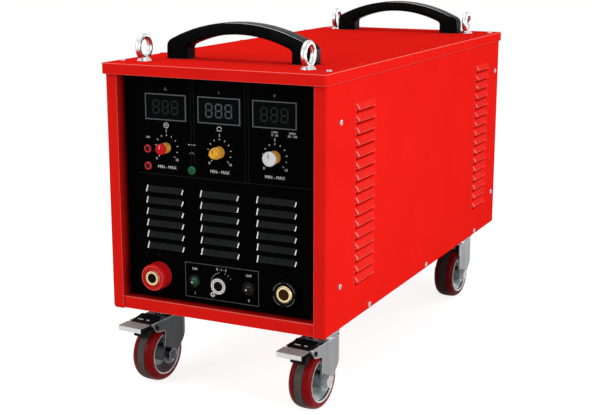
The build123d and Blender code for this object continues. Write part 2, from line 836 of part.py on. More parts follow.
def mode_selector():
    """Rotary selector: dished ring with a pointing lug, on its shaft."""
    front = panel_front - selector_protrusion
    back = panel_front - knob_gap
    edge = contact_mouth
    rim = turned_y(((0, front + selector_dish_depth), (selector_dish_radius, front + selector_dish_depth),
                    (selector_dish_radius, front + edge), (selector_dish_radius + edge, front),
                    (selector_radius - edge, front), (selector_radius, front + edge),
                    (selector_radius, back), (knob_bore_radius, back),
                    (knob_bore_radius, back - knob_bore_depth), (0, back - knob_bore_depth)), 0, 0)
    lug_root = (selector_radius + selector_dish_radius) / 2
    lug_front = back - selector_lug_thickness
    lug = block(lug_root, selector_lug_reach, lug_front, back, -selector_lug_width / 2,
                selector_lug_width / 2)
    tip = lug.edges().filter_by(Axis.Y).group_by(Axis.X)[-1]
    lug = fillet(tip, selector_lug_width / 4)
    shaft = rod_y(pot_shaft_radius, back - knob_bore_depth, panel_back + pot_body_depth / 2, 0, 0)
    return Pos(0, 0, switch_z) * (rim + Rot(0, -selector_lug_angle, 0) * lug + shaft)


def selector_switch():
    """Switch body behind the lower plate with its bushing."""
    half = switch_body_width / 2
    neck, bore = bushing(0, switch_z)
    body = block(-half, half, panel_back, panel_back + switch_body_depth, switch_z - half, switch_z + half)
    return body + neck - bore


def fan_frame():
    """Square fan frame: round duct, motor hub on four struts at the inner end."""
    half = fan_size / 2
    front = rear_inner - fan_depth
    frame = block(-half, half, front, rear_inner, -half, half)
    frame = fillet(frame.edges().filter_by(Axis.Y), guard_lug_radius)
    frame -= rod_y(fan_bore_radius, front - margin, rear_inner + margin, 0, 0)
    frame += rod_y(fan_hub_radius, front, front + fan_motor_depth, 0, 0)
    strut = block(fan_hub_radius / 2, fan_bore_radius + margin, front, front + fan_strut_width,
                  -fan_strut_width / 2, fan_strut_width / 2)
    frame += [Rot(0, 45 + 90 * step, 0) * strut for step in range(4)]
    bore_end = front + fan_motor_depth
    frame -= rod_y(fan_shaft_radius + running_gap, front - margin, bore_end + margin, 0, 0)
    return Pos(fan_x, 0, fan_z) * frame


def fan_rotor():
    """Fan rotor: hub, pitched blades inside the duct, and its shaft in the motor hub."""
    motor_end = rear_inner - fan_depth + fan_motor_depth
    start = motor_end + fan_axial_gap
    tip = fan_bore_radius - fan_tip_gap
    rotor = rod_y(fan_hub_radius, start, start + fan_rotor_depth, 0, 0)
    root = fan_hub_radius / 2
    wide = fan_rotor_depth
    blade = block(root, fan_bore_radius, -wide, wide, -fan_blade_thickness / 2, fan_blade_thickness / 2)
    blade = Pos(0, start + fan_rotor_depth / 2, 0) * Rot(fan_blade_pitch, 0, 0) * blade
    swept = rod_y(tip, start + fan_axial_gap, start + fan_rotor_depth - fan_axial_gap, 0, 0)
    blade = blade & swept
    rotor += [Rot(0, 360 * step / fan_blades, 0) * blade for step in range(fan_blades)]
    rotor += rod_y(fan_shaft_radius, motor_end - fan_motor_depth / 2, start, 0, 0)
    return Pos(fan_x, 0, fan_z) * rotor


def fan_guard():
    """Finger guard: wire rings on two crossed bars with four screw lugs."""
    inner = rear_outer + guard_standoff
    outer = inner + guard_wire
    reach = guard_lug_spacing / 2
    length = reach * sqrt(2)
    wire = guard_wire / 2
    guard = block(-length, length, inner, outer, -wire, wire)
    guard = Rot(0, 45, 0) * guard + Rot(0, -45, 0) * guard
    for radius in guard_rings:
        ring = rod_y(radius + wire, inner, outer, 0, 0)
        guard += ring - rod_y(radius - wire, inner - margin, outer + margin, 0, 0)
    guard += [rod_y(guard_lug_radius, rear_outer, outer, x, z)
              for x in (-reach, reach) for z in (-reach, reach)]
    return Pos(fan_x, 0, fan_z) * guard


def cable_gland():
    """Gland body with its dome, bored through for the mains lead, and the locknut inside."""
    hex_end = rear_outer + gland_hex_thickness
    dome_end = hex_end + gland_dome_length
    start = rear_inner - gland_inside_length
    body = rod_y(gland_neck_radius, start, rear_outer, 0, 0)
    body += Pos(0, rear_outer, 0) * Rot(-90, 0, 0) * hexagon(gland_hex_across, gland_hex_thickness)
    lip = gland_bore_radius + gland_lip_wall
    body += turned_y(((0, hex_end), (gland_dome_radius, hex_end),
                      (gland_dome_radius, hex_end + gland_dome_length / 2), (lip, dome_end),
                      (0, dome_end)), 0, 0)
    body -= rod_y(gland_bore_radius, start - margin, dome_end + margin, 0, 0)
    nut = Pos(0, rear_inner - gland_nut_thickness, 0) * Rot(-90, 0, 0) * hexagon(
        gland_nut_across, gland_nut_thickness)
    nut -= rod_y(gland_neck_radius + contact_gap, start - margin, rear_inner + margin, 0, 0)
    return [Pos(gland_x, 0, gland_z) * body, Pos(gland_x, 0, gland_z) * nut]


def lever_axis_y():
    """Y of the breaker lever's axis, a little inside the face of the nose."""
    return rear_outer + breaker_nose_proud - lever_hub_inset


def power_breaker():
    """Mains breaker: body behind the rear plate, nose through it, pocket for the lever."""
    half = breaker_width / 2
    tall = breaker_body_height / 2
    nose = breaker_nose_height / 2
    body = block(-half, half, rear_inner - breaker_body_depth, rear_inner, -tall, tall)
    body += block(-half, half, rear_inner - margin, rear_outer + breaker_nose_proud, -nose, nose)
    pocket = lever_width / 2 + lever_hub_gap
    body -= rod_x(lever_hub_radius + lever_hub_gap, -pocket, pocket, lever_axis_y(), 0)
    return Pos(breaker_x, 0, breaker_z) * body


def breaker_lever():
    """Tied lever of the breaker: hub in the nose and a tapered bar to push."""
    half = lever_width / 2
    root = lever_thickness / 2
    tip = lever_tip_thickness / 2
    profile = Polygon((0, -root), (lever_reach, -tip), (lever_reach, tip), (0, root), align=None)
    lever = rod_x(lever_hub_radius, -half, half, 0, 0) + extrude(Plane.YZ * profile, half, both=True)
    return Pos(breaker_x, lever_axis_y(), breaker_z) * Rot(lever_rest_angle, 0, 0) * lever


def transformer_core():
    """Three-limb laminated core that stands on the tray."""
    width = 3 * core_limb + 2 * core_window_width
    height = core_window_height + 2 * core_limb
    core = block(-width / 2, width / 2, core_middle - core_depth / 2, core_middle + core_depth / 2,
                 tray_floor, tray_floor + height)
    window_x = (core_limb + core_window_width) / 2
    for x in (-window_x, window_x):
        core -= block(x - core_window_width / 2, x + core_window_width / 2,
                      core_middle - core_depth, core_middle + core_depth,
                      tray_floor + core_limb, tray_floor + core_limb + core_window_height)
    return core


def transformer_coil(step):
    """One coil round a limb of the transformer core."""
    x = step * (core_limb + core_window_width)
    low = tray_floor + core_limb + coil_end_gap
    height = core_window_height - 2 * coil_end_gap
    wide = core_limb + 2 * coil_gap
    deep = core_depth + 2 * coil_gap
    outside = RectangleRounded(wide + 2 * coil_build, deep + 2 * coil_build, coil_build / 2)
    return Pos(x, core_middle, low) * extrude(outside - Rectangle(wide, deep), height)


def output_choke():
    """Choke that smooths the output: a window core and the coil on its middle bar."""
    half = choke_width / 2
    front = choke_middle - choke_depth / 2
    back = choke_middle + choke_depth / 2
    core = block(-half, half, front, back, tray_floor, tray_floor + choke_height)
    core -= block(choke_limb - half, half - choke_limb, front - margin, back + margin,
                  tray_floor + choke_limb, tray_floor + choke_height - choke_limb)
    wide = choke_limb + 2 * coil_gap
    deep = choke_depth + 2 * coil_gap
    outside = RectangleRounded(wide + 2 * choke_coil_build, deep + 2 * choke_coil_build,
                               choke_coil_build / 2)
    length = choke_height - 2 * choke_limb - 2 * coil_end_gap
    limb = half - choke_limb / 2
    low = tray_floor + choke_limb + coil_end_gap
    coils = [Pos(x, choke_middle, low) * extrude(outside - Rectangle(wide, deep), length)
             for x in (-limb, limb)]
    return [core] + coils


def heat_sink():
    """Finned heat sink: fins down on the tray, base plate on top."""
    half = heat_sink_width / 2
    back = heat_sink_front + heat_sink_length
    base = tray_floor + heat_sink_fin_height
    sink = block(-half, half, heat_sink_front, back, base, base + heat_sink_base)
    pitch = (heat_sink_width - heat_sink_fin_thickness) / (heat_sink_fins - 1)
    return sink + [block(step * pitch - half, step * pitch - half + heat_sink_fin_thickness,
                         heat_sink_front, back, tray_floor, base) for step in range(heat_sink_fins)]


def rectifier_module(step):
    """One rectifier module on the base plate of the heat sink."""
    x = step * module_pitch
    base = tray_floor + heat_sink_fin_height + heat_sink_base
    front = heat_sink_front + module_setback
    return block(x - module_width / 2, x + module_width / 2, front, front + module_length,
                 base, base + module_height)


def control_board():
    """Circuit board behind the control panel, on standoffs from the front portal, with its larger parts."""
    low = seam + board_seam_gap
    high = lid_under - sheet - bar_thickness - board_bar_gap
    portal_back = post_screw_front + upright_width / 2
    front = portal_back + board_standoff
    back = front + board_thickness
    corner = tray_inside - frame_gap - upright_web / 2
    half = corner + standoff_inset
    board = block(-half, half, front, back, low, high)
    for x in (-corner, corner):
        for z in (low + standoff_inset, high - standoff_inset):
            board += rod_y(standoff_radius, portal_back, front, x, z)
    for step in (-1, 0, 1):
        x = step * half / 2
        board += block(x - board_part_depth, x + board_part_depth, back, back + board_part_depth,
                       low + standoff_inset, (low + high) / 2)
    return board


def busbar(x, end_y, landing_x, landing_z):
    """Bent bar from a socket stud, back along the tray, to a landing inside."""
    side = 1 if x > 0 else -1
    start = panel_back + socket_neck_length + contact_nut_thickness
    inner = busbar_x
    outer = inner + busbar_width
    low = tray_base + busbar_height
    reach = contact_stud_radius + busbar_edge
    foot = block(abs(x) - reach, outer, start, start + busbar_thickness, low, socket_z + reach)
    run = block(inner, outer, start, end_y, low, low + busbar_thickness)
    rise_low = min(low, landing_z)
    rise_high = max(low, landing_z) + busbar_thickness
    rise = block(inner, outer, end_y - busbar_thickness, end_y, rise_low, rise_high)
    landing = block(landing_x, outer, end_y - busbar_thickness, end_y + busbar_width,
                    landing_z, landing_z + busbar_thickness)
    bar = foot + run + rise + landing
    bar -= rod_y(contact_stud_radius + busbar_clearance, start - margin, start + busbar_thickness + margin,
                 abs(x), socket_z)
    return bar if side > 0 else mirror(bar, about=Plane.YZ)


def busbars():
    """Positive bar to the heat sink and negative bar to the top of the choke."""
    sink_top = tray_floor + heat_sink_fin_height + heat_sink_base
    positive = busbar(positive_socket_x, heat_sink_front + busbar_thickness,
                      heat_sink_width / 2 - busbar_width, sink_top)
    choke_top = tray_floor + choke_height
    negative = busbar(negative_socket_x, choke_middle, choke_width / 2 - busbar_width, choke_top)
    return [positive, negative]


def caster_plate(x, y):
    """Fixed half of a caster: bolted plate, upper race and riveted kingpin."""
    half_x = caster_plate_width / 2
    half_y = caster_plate_length / 2
    plate = block(-half_x, half_x, -half_y, half_y, plate_base, tray_base)
    plate = fillet(plate.edges().filter_by(Axis.Z), fork_foot_radius / 2)
    crown_low = fork_top - fork_sheet
    head_top = crown_low - swivel_gap
    split = fork_top + race_height / 2
    plate += rod_z(race_cap_radius, split, plate_base, 0, 0)
    plate += rod_z(kingpin_radius, head_top - kingpin_head_height, plate_base, 0, 0)
    plate += rod_z(kingpin_head_radius, head_top - kingpin_head_height, head_top, 0, 0)
    bolt_hole = caster_bolt_radius + caster_bolt_clearance
    for step_x in (-caster_bolt_spacing_x / 2, caster_bolt_spacing_x / 2):
        for step_y in (-caster_bolt_spacing_y / 2, caster_bolt_spacing_y / 2):
            plate -= rod_z(bolt_hole, plate_base - margin, tray_base + margin, step_x, step_y)
    return Pos(x, y, 0) * plate


def caster_bolt(x, y):
    """Hexagon bolt up through a caster plate and the tray, with its nut run on."""
    head = Pos(0, 0, plate_base - caster_bolt_head_height) * hexagon(caster_bolt_head_across,
                                                                     caster_bolt_head_height)
    top = tray_floor + caster_nut_height
    shank = rod_z(caster_bolt_radius, plate_base - margin, top + caster_bolt_radius / 2, 0, 0)
    nut = Pos(0, 0, tray_floor) * hexagon(caster_bolt_head_across, caster_nut_height)
    return Pos(x, y, 0) * (head + shank + nut)


def fork_plan(half, front):
    """Plan outline of a fork: straight sides and a round back."""
    return Pos(0, (wrap_back - front) / 2) * Rectangle(2 * half, wrap_back + front) + Pos(
        0, wrap_back) * Circle(half)


def side_outline(points):
    """Flat face from (distance ahead of the axle, height) points, drawn in Y and Z."""
    return Polygon(*[(-swivel_lead - ahead, z) for ahead, z in points], align=None)


def fork(has_arms):
    """Pressed swivel fork: a bent sheet round the wheel, cut to its side outline, and a crown."""
    foot = wheel_radius - fork_foot_drop
    neck = fork_top - arm_depth
    tip_low = (arm_reach - arm_tip_cut, fork_top - arm_tip_depth)
    back = swivel_lead + wrap_back + fork_outer
    front = swivel_lead + arm_reach
    outline = [(fork_foot_front, foot)]
    if has_arms:
        outline += [(fork_neck_front, neck), tip_low, (arm_reach, fork_top)]
    else:
        outline += [(fork_neck_front, fork_top)]
    outline += [(-back - margin, fork_top), (-back - margin, fork_top - fork_back_drop),
                (-fork_foot_back, foot)]
    face = side_outline(outline)
    foot_corners = [(-swivel_lead - fork_foot_front, foot), (fork_foot_back - swivel_lead, foot)]
    face = fillet(nearest(face, *foot_corners), fork_foot_radius)
    if has_arms:
        tips = [(-swivel_lead - tip_low[0], tip_low[1]), (-swivel_lead - arm_reach, fork_top),
                (-swivel_lead - fork_neck_front, neck)]
        face = fillet(nearest(face, *tips), arm_radius)
    sheet_ring = extrude(fork_plan(fork_outer, front), fork_top)
    sheet_ring -= extrude(fork_plan(fork_inner, front + margin), fork_top + margin)
    legs = sheet_ring & extrude(Plane.YZ * face, 2 * fork_outer, both=True)
    crown = Pos(0, 0, fork_top - fork_sheet) * extrude(fork_plan(fork_outer, crown_reach), fork_sheet)
    split = fork_top + race_height / 2
    race = rod_z(race_radius, fork_top, split - swivel_gap, 0, 0)
    body = legs + crown + race
    body -= rod_z(kingpin_radius + running_gap, 0, lid_top, 0, 0)
    body -= rod_x(axle_radius + running_gap, -2 * fork_outer, 2 * fork_outer, -swivel_lead, wheel_radius)
    if has_arms:
        body -= rod_x(pedal_pin_radius + running_gap, -2 * fork_outer, 2 * fork_outer,
                      -swivel_lead - pedal_pivot_ahead, pedal_pivot_z)
    return body


def axle_bolt():
    """Axle bolt across the fork with its head and nut."""
    bolt = rod_x(axle_radius, -fork_outer - axle_nut_height - margin, fork_outer, 0, 0)
    bolt += Pos(fork_outer, 0, 0) * Rot(0, 90, 0) * hexagon(axle_head_across, axle_head_height)
    bolt += Pos(-fork_outer - axle_nut_height, 0, 0) * Rot(0, 90, 0) * hexagon(axle_head_across,
                                                                               axle_nut_height)
    return Pos(0, -swivel_lead, wheel_radius) * bolt


def wheel_hub():
    """Dished wheel centre: barrel on the axle, web, coned dish and rim."""
    bore = axle_radius + running_gap
    end = fork_inner - hub_side_gap
    rim_half = wheel_width / 2 - rim_inset
    right = [(end, bore), (end, hub_barrel_radius), (web_half, hub_barrel_radius + hub_barrel_flare),
             (web_half, web_radius), (rim_half - rim_wall, rim_radius - rim_wall),
             (rim_half, rim_radius - rim_wall), (rim_half, rim_radius)]
    left = [(-x, radius) for x, radius in reversed(right)]
    return Pos(0, -swivel_lead, wheel_radius) * turned_x(right + left)


def tyre():
    """Moulded tyre: flat running band between two grooves, round shoulders."""
    half = wheel_width / 2
    groove_end = tread_half + tread_groove_width
    groove_middle = tread_half + tread_groove_width / 2
    bead = half - tyre_bead_inset
    shoulder_low = wheel_radius - tyre_shoulder_depth
    shoulder_high = wheel_radius - tread_step
    outline = [
        Polyline((bead, rim_radius), (half, rim_radius + tyre_bead_inset), (half, shoulder_low)),
        SagittaArc((half, shoulder_low), (groove_end, shoulder_high), tyre_shoulder_bulge),
        Polyline((groove_end, shoulder_high), (groove_middle, wheel_radius - tread_groove),
                 (tread_half, wheel_radius), (0, wheel_radius), (0, rim_radius), (bead, rim_radius)),
    ]
    face = make_face(outline)
    face += mirror(face, about=Plane.YZ)
    return Pos(0, -swivel_lead, wheel_radius) * revolve(face, Axis.X)


def brake_pedal():
    """Brake pedal: bent top sheet with a ribbed toe, two ears on a pin, and the shoe below."""
    back_z = fork_top + pedal_back_rise
    knee_z = fork_top - pedal_knee_drop
    toe_z = fork_top - pedal_toe_drop
    neck_half = fork_inner - pedal_side_gap
    low = pedal_sheet
    slope = side_outline([(pedal_back, back_z), (pedal_knee, knee_z), (pedal_knee, knee_z - low),
                          (pedal_back, back_z - low)])
    toe = side_outline([(pedal_knee, knee_z), (pedal_toe, toe_z), (pedal_toe + low / 2, toe_z - low / 2),
                        (pedal_toe + low / 2, toe_z - pedal_lip), (pedal_toe - low / 2, toe_z - pedal_lip),
                        (pedal_toe - low / 2, toe_z - low), (pedal_knee, knee_z - low)])
    pedal = extrude(Plane.YZ * slope, neck_half, both=True)
    pedal += extrude(Plane.YZ * toe, pedal_toe_half, both=True)
    for step in range(pedal_rib_count):
        share = (step + 1) / (pedal_rib_count + 1)
        ahead = pedal_knee + share * (pedal_toe - pedal_knee)
        rib_z = knee_z + share * (toe_z - knee_z)
        pedal += rod_x(pedal_rib_radius, pedal_rib_radius - pedal_toe_half,
                       pedal_toe_half - pedal_rib_radius, -swivel_lead - ahead, rib_z)
    pivot = pedal_pivot_ahead
    pivot_z = pedal_pivot_z
    ear_outline = side_outline([(pedal_back + low, back_z - low), (pedal_knee, knee_z - low),
                                (pivot + pedal_ear_radius, pivot_z), (pivot, pivot_z - pedal_ear_radius),
                                (pivot - pedal_ear_radius, pivot_z)])
    ear = extrude(Plane.YZ * ear_outline, low / 2, both=True)
    pedal += [Pos(x, 0, 0) * ear for x in (low / 2 - neck_half, neck_half - low / 2)]
    head = fork_outer + running_gap
    pedal += rod_x(pedal_pin_radius, -head - pedal_pin_head, head + pedal_pin_head,
                   -swivel_lead - pivot, pivot_z)
    for x in (-head - pedal_pin_head, head):
        pedal += rod_x(pedal_pin_head_radius, x, x + pedal_pin_head, -swivel_lead - pivot, pivot_z)
    tip_z = wheel_radius + sqrt((wheel_radius + shoe_gap) ** 2 - shoe_ahead**2)
    shoe = side_outline([(pivot - pedal_ear_radius, pivot_z), (pivot + pedal_ear_radius, pivot_z),
                         (shoe_ahead + shoe_length, tip_z + shoe_length / 2), (shoe_ahead, tip_z)])
    pedal += extrude(Plane.YZ * shoe, shoe_half, both=True)
    return pedal


def at_caster(name, piece):
    """A caster piece, drawn about its kingpin, set in its place and turned to rest."""
    x, y = caster_places[name]
    return Pos(x, y, 0) * Rot(0, 0, caster_rest_turn) * piece


def side_by_side(make, *steps):
    """Group of like pieces, one for each step."""
    return [make(step) for step in steps]


# Pieces by name: one solid each, or a list where like pieces share a name
cap_back = panel_front - knob_protrusion + knob_cap_length
white_cap_back = panel_front - knob_protrusion + white_cap_length
right_side = side_panel()
small_lamps = [lamp(x, z, lamp_radius, lamp_lens_radius) for x, z in small_lamp_places()]
green_status = lamp(-status_lamp_x, switch_z, status_lamp_radius, status_lens_radius)
red_status = lamp(status_lamp_x, switch_z, status_lamp_radius, status_lens_radius)
nodes = {
    "base_tray": base_tray(),
    "left_side_panel": mirror(right_side, about=Plane.YZ),
    "right_side_panel": right_side,
    "top_cover": top_cover(),
    "inner_frame": inner_frame(),
    "front_handle": handle(handle_places[0]),
    "rear_handle": handle(handle_places[1]),
    "lifting_eyes": [lifting_eye(x, y) for x in eye_columns for y in eye_rows],
    "cabinet_screws": [seat * cabinet_screw() for seat in screw_seats()],
    "control_panel": control_panel(),
    "louvre_panel": louvre_panel(),
    "rear_panel": rear_panel(),
    "meter_housings": side_by_side(meter_housing, -1, 0, 1),
    "meter_windows": side_by_side(meter_window, -1, 0, 1),
    "current_knob": knob("current", knob_radius, cap_back),
    "current_knob_cap": knob_cap("current", knob_cap_radius, cap_back),
    "time_knob": knob("time", time_knob_radius, cap_back) + knob_cap("time", time_nose_radius, cap_back),
    "voltage_knob": knob("voltage", white_knob_radius, white_cap_back),
    "voltage_knob_cap": knob_cap("voltage", white_cap_radius, white_cap_back),
    "potentiometers": side_by_side(potentiometer, *knob_places.values()),
    "red_lamps": small_lamps[:2] + [red_status],
    "green_lamps": small_lamps[2:] + [green_status],
    "mode_selector": mode_selector(),
    "selector_switch": selector_switch(),
    "positive_socket": socket_body(positive_socket_x, positive_socket_radius, positive_socket_protrusion),
    "negative_socket": socket_body(negative_socket_x, negative_socket_radius, negative_socket_protrusion),
    "socket_contacts": [socket_contact(positive_socket_x, positive_socket_protrusion),
                        socket_contact(negative_socket_x, negative_socket_protrusion)],
    "fan_frame": fan_frame(),
    "fan_rotor": fan_rotor(),
    "fan_guard": fan_guard(),
    "cable_gland": cable_gland(),
    "power_breaker": power_breaker(),
    "breaker_lever": breaker_lever(),
    "transformer_core": transformer_core(),
    "transformer_windings": side_by_side(transformer_coil, -1, 0, 1),
    "output_choke": output_choke(),
    "heat_sink": heat_sink(),
    "rectifier_modules": side_by_side(rectifier_module, -1, 0, 1),
    "control_board": control_board(),
    "busbars": busbars(),
    "caster_plates": [caster_plate(x, y) for x, y in caster_places.values()],
    "caster_bolts": [caster_bolt(x, y) for x, y in caster_bolt_spots()],
}
for name in caster_places:
    has_brake = name.startswith("front")
    nodes[name + "_fork"] = at_caster(name, fork(has_brake))
    nodes[name + "_axle"] = at_caster(name, axle_bolt())
    nodes[name + "_hub"] = at_caster(name, wheel_hub())
    nodes[name + "_tyre"] = at_caster(name, tyre())
    if has_brake:
        nodes[name + "_pedal"] = at_caster(name, brake_pedal())

# Origin: bottom centre of the whole machine, halfway between the pedal lips and the lid's rear edge
solids = [solid for piece in nodes.values() for solid in (piece if isinstance(piece, list) else [piece])]
length_middle = (min(solid.bounding_box().min.Y for solid in solids)
                 + max(solid.bounding_box().max.Y for solid in solids)) / 2
to_origin = Pos(0, -length_middle, 0)

os.makedirs("parts", exist_ok=True)
for name, piece in nodes.items():
    group = piece if isinstance(piece, list) else [piece]
    moved = [to_origin * solid for solid in group]
    export_step(moved[0] if len(moved) == 1 else Compound(children=moved), f"parts/{name}.step")
print(len(nodes), "nodes, middle of the length", round(length_middle, 3))
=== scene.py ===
import json
import logging
from dataclasses import dataclass, field
from enum import Enum
from functools import partial
from math import cos, radians, sin
from typing import Any, Mapping, Optional, Sequence

import bmesh
import bpy
import numpy as np
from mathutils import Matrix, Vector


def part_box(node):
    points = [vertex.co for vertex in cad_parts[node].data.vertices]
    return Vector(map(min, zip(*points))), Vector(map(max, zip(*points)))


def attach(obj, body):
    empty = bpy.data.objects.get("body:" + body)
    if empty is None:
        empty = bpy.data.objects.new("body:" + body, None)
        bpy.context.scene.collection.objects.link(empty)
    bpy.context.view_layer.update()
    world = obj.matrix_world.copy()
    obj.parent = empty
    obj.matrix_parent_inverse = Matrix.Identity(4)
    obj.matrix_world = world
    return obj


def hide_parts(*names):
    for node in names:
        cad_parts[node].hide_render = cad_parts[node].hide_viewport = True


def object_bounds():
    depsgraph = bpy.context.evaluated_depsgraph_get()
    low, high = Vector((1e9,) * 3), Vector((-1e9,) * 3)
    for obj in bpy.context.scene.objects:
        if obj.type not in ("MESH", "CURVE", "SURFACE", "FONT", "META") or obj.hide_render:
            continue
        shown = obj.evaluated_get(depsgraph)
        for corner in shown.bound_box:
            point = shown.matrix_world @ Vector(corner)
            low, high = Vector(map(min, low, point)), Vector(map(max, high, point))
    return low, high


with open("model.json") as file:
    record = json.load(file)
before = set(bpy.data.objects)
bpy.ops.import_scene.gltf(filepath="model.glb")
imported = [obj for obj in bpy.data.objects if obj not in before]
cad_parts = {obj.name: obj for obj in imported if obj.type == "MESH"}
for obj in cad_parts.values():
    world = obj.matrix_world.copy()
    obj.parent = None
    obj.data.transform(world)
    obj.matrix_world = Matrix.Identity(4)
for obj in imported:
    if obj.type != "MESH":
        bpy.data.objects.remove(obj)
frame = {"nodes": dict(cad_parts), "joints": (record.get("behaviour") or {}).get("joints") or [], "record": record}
CAD_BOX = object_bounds()

# Looks of a welding machine on casters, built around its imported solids.
# Sizes are millimetres in the frame of the solids, which Blender holds in metres.
MM = 0.001
INK = 0.15  # thickness of printed marks
SUNK = 0.05  # how far a laid-on piece reaches into what carries it
ROUND = 96  # segments of a wheel
RING = 64  # segments of a ring on a plate
UPRIGHT = 0.9  # an axis with more than this of its length along Z is upright
CREASE = radians(32)  # edges sharper than this stay sharp
MERGE_M = 1e-7  # points of a piece closer than this are one
SOLID_MERGE_M = 1e-6  # the same for the triangles of a solid
CAPITAL = 0.7  # height of capitals as a share of the font's size
LETTER_STEPS = 3  # steps in a curve of a letter
NOISE_SPAN = (0.3, 0.7)  # where most values of a noise lie
GLOSS_PATCHES = 3  # patches of gloss along one of colour
EDGE_HIGHLIGHT_TURN = (0.99, 0.8)  # cosine of the edge's turn where the painted highlight starts, and where it is full
EDGE_HIGHLIGHT_SAMPLES = 6  # rays that look for an edge
CABINET = "cabinet"
UP = np.array((0.0, 0.0, 1.0))

log = logging.getLogger("welding_machine")
Array = np.ndarray
Pair = tuple[float, float]
Triple = tuple[float, float, float]
Span = tuple[float, float, int]  # first value, last value and number of values
Profile = Sequence[Pair]  # (along, radius) points
Label = tuple[str, float, float, float]  # text, X and Z of its middle, height of its capitals
Tree = bpy.types.NodeTree
Socket = bpy.types.NodeSocket


def linear(code: str) -> tuple[float, float, float, float]:
    """Linear RGBA of an sRGB hex colour.

    Dark values are divided by 12.92, and the others follow the power curve of the sRGB standard.

    Args:
        code: colour such as "#d8150f".

    Returns:
        Red, green, blue and an alpha of one.
    """
    srgb = np.array([int(code[start:start + 2], 16) for start in (1, 3, 5)]) / 255
    value = np.where(srgb <= 0.04045, srgb / 12.92, ((srgb + 0.055) / 1.055) ** 2.4)
    return (*value.tolist(), 1.0)


def shaded(code: str, share: float) -> tuple[float, float, float, float]:
    """Linear colour made lighter or darker by a share of itself."""
    return (*(np.array(linear(code)[:3]) * share).clip(0, 1).tolist(), 1.0)


def bare_tree(owner: Any) -> Tree:
    """Empties the node tree of a material or a world.

    Args:
        owner: the material or the world.

    Returns:
        Its node tree.
    """
    owner.use_nodes = True
    owner.node_tree.nodes.clear()
    return owner.node_tree


def add_node(
    tree: Tree,
    kind: str,
    inputs: Optional[Mapping[Any, Any]] = None,
    settings: Optional[Mapping[str, Any]] = None,
) -> bpy.types.Node:
    """Adds one node with its settings and links.

    Args:
        tree: node tree that gets the node.
        kind: Blender's name of the node type.
        inputs: socket name or number to a value, or to an output socket that is linked to it.
        settings: the node's own properties; "ramp" gives the stops of a colour ramp.

    Returns:
        The new node.
    """
    node = tree.nodes.new(kind)
    for key, value in (settings or {}).items():
        if key == "ramp":
            for stop, (place, colour) in zip(node.color_ramp.elements, value):
                stop.position = place
                stop.color = colour
        else:
            setattr(node, key, value)
    for key, value in (inputs or {}).items():
        if isinstance(value, Socket):
            tree.links.new(value, node.inputs[key])
        else:
            node.inputs[key].default_value = value
    return node


def noise(tree: Tree, place: Socket, size: float, detail: float) -> Socket:
    """Noise whose features are this many millimetres apart."""
    return add_node(tree, "ShaderNodeTexNoise", {
        "Vector": place, "Scale": 1 / (size * MM), "Detail": detail}).outputs["Fac"]


def mixed(tree: Tree, share: Socket, first: Any, second: Any) -> Socket:
    """Colour between two others."""
    return add_node(tree, "ShaderNodeMixRGB", {
        "Fac": share, "Color1": first, "Color2": second}).outputs["Color"]


def combined(tree: Tree, operation: str, first: Any, second: Any, clamp: bool = False) -> Socket:
    """Result of a sum on two numbers or sockets."""
    return add_node(tree, "ShaderNodeMath", {0: first, 1: second},
                    {"operation": operation, "use_clamp": clamp}).outputs[0]


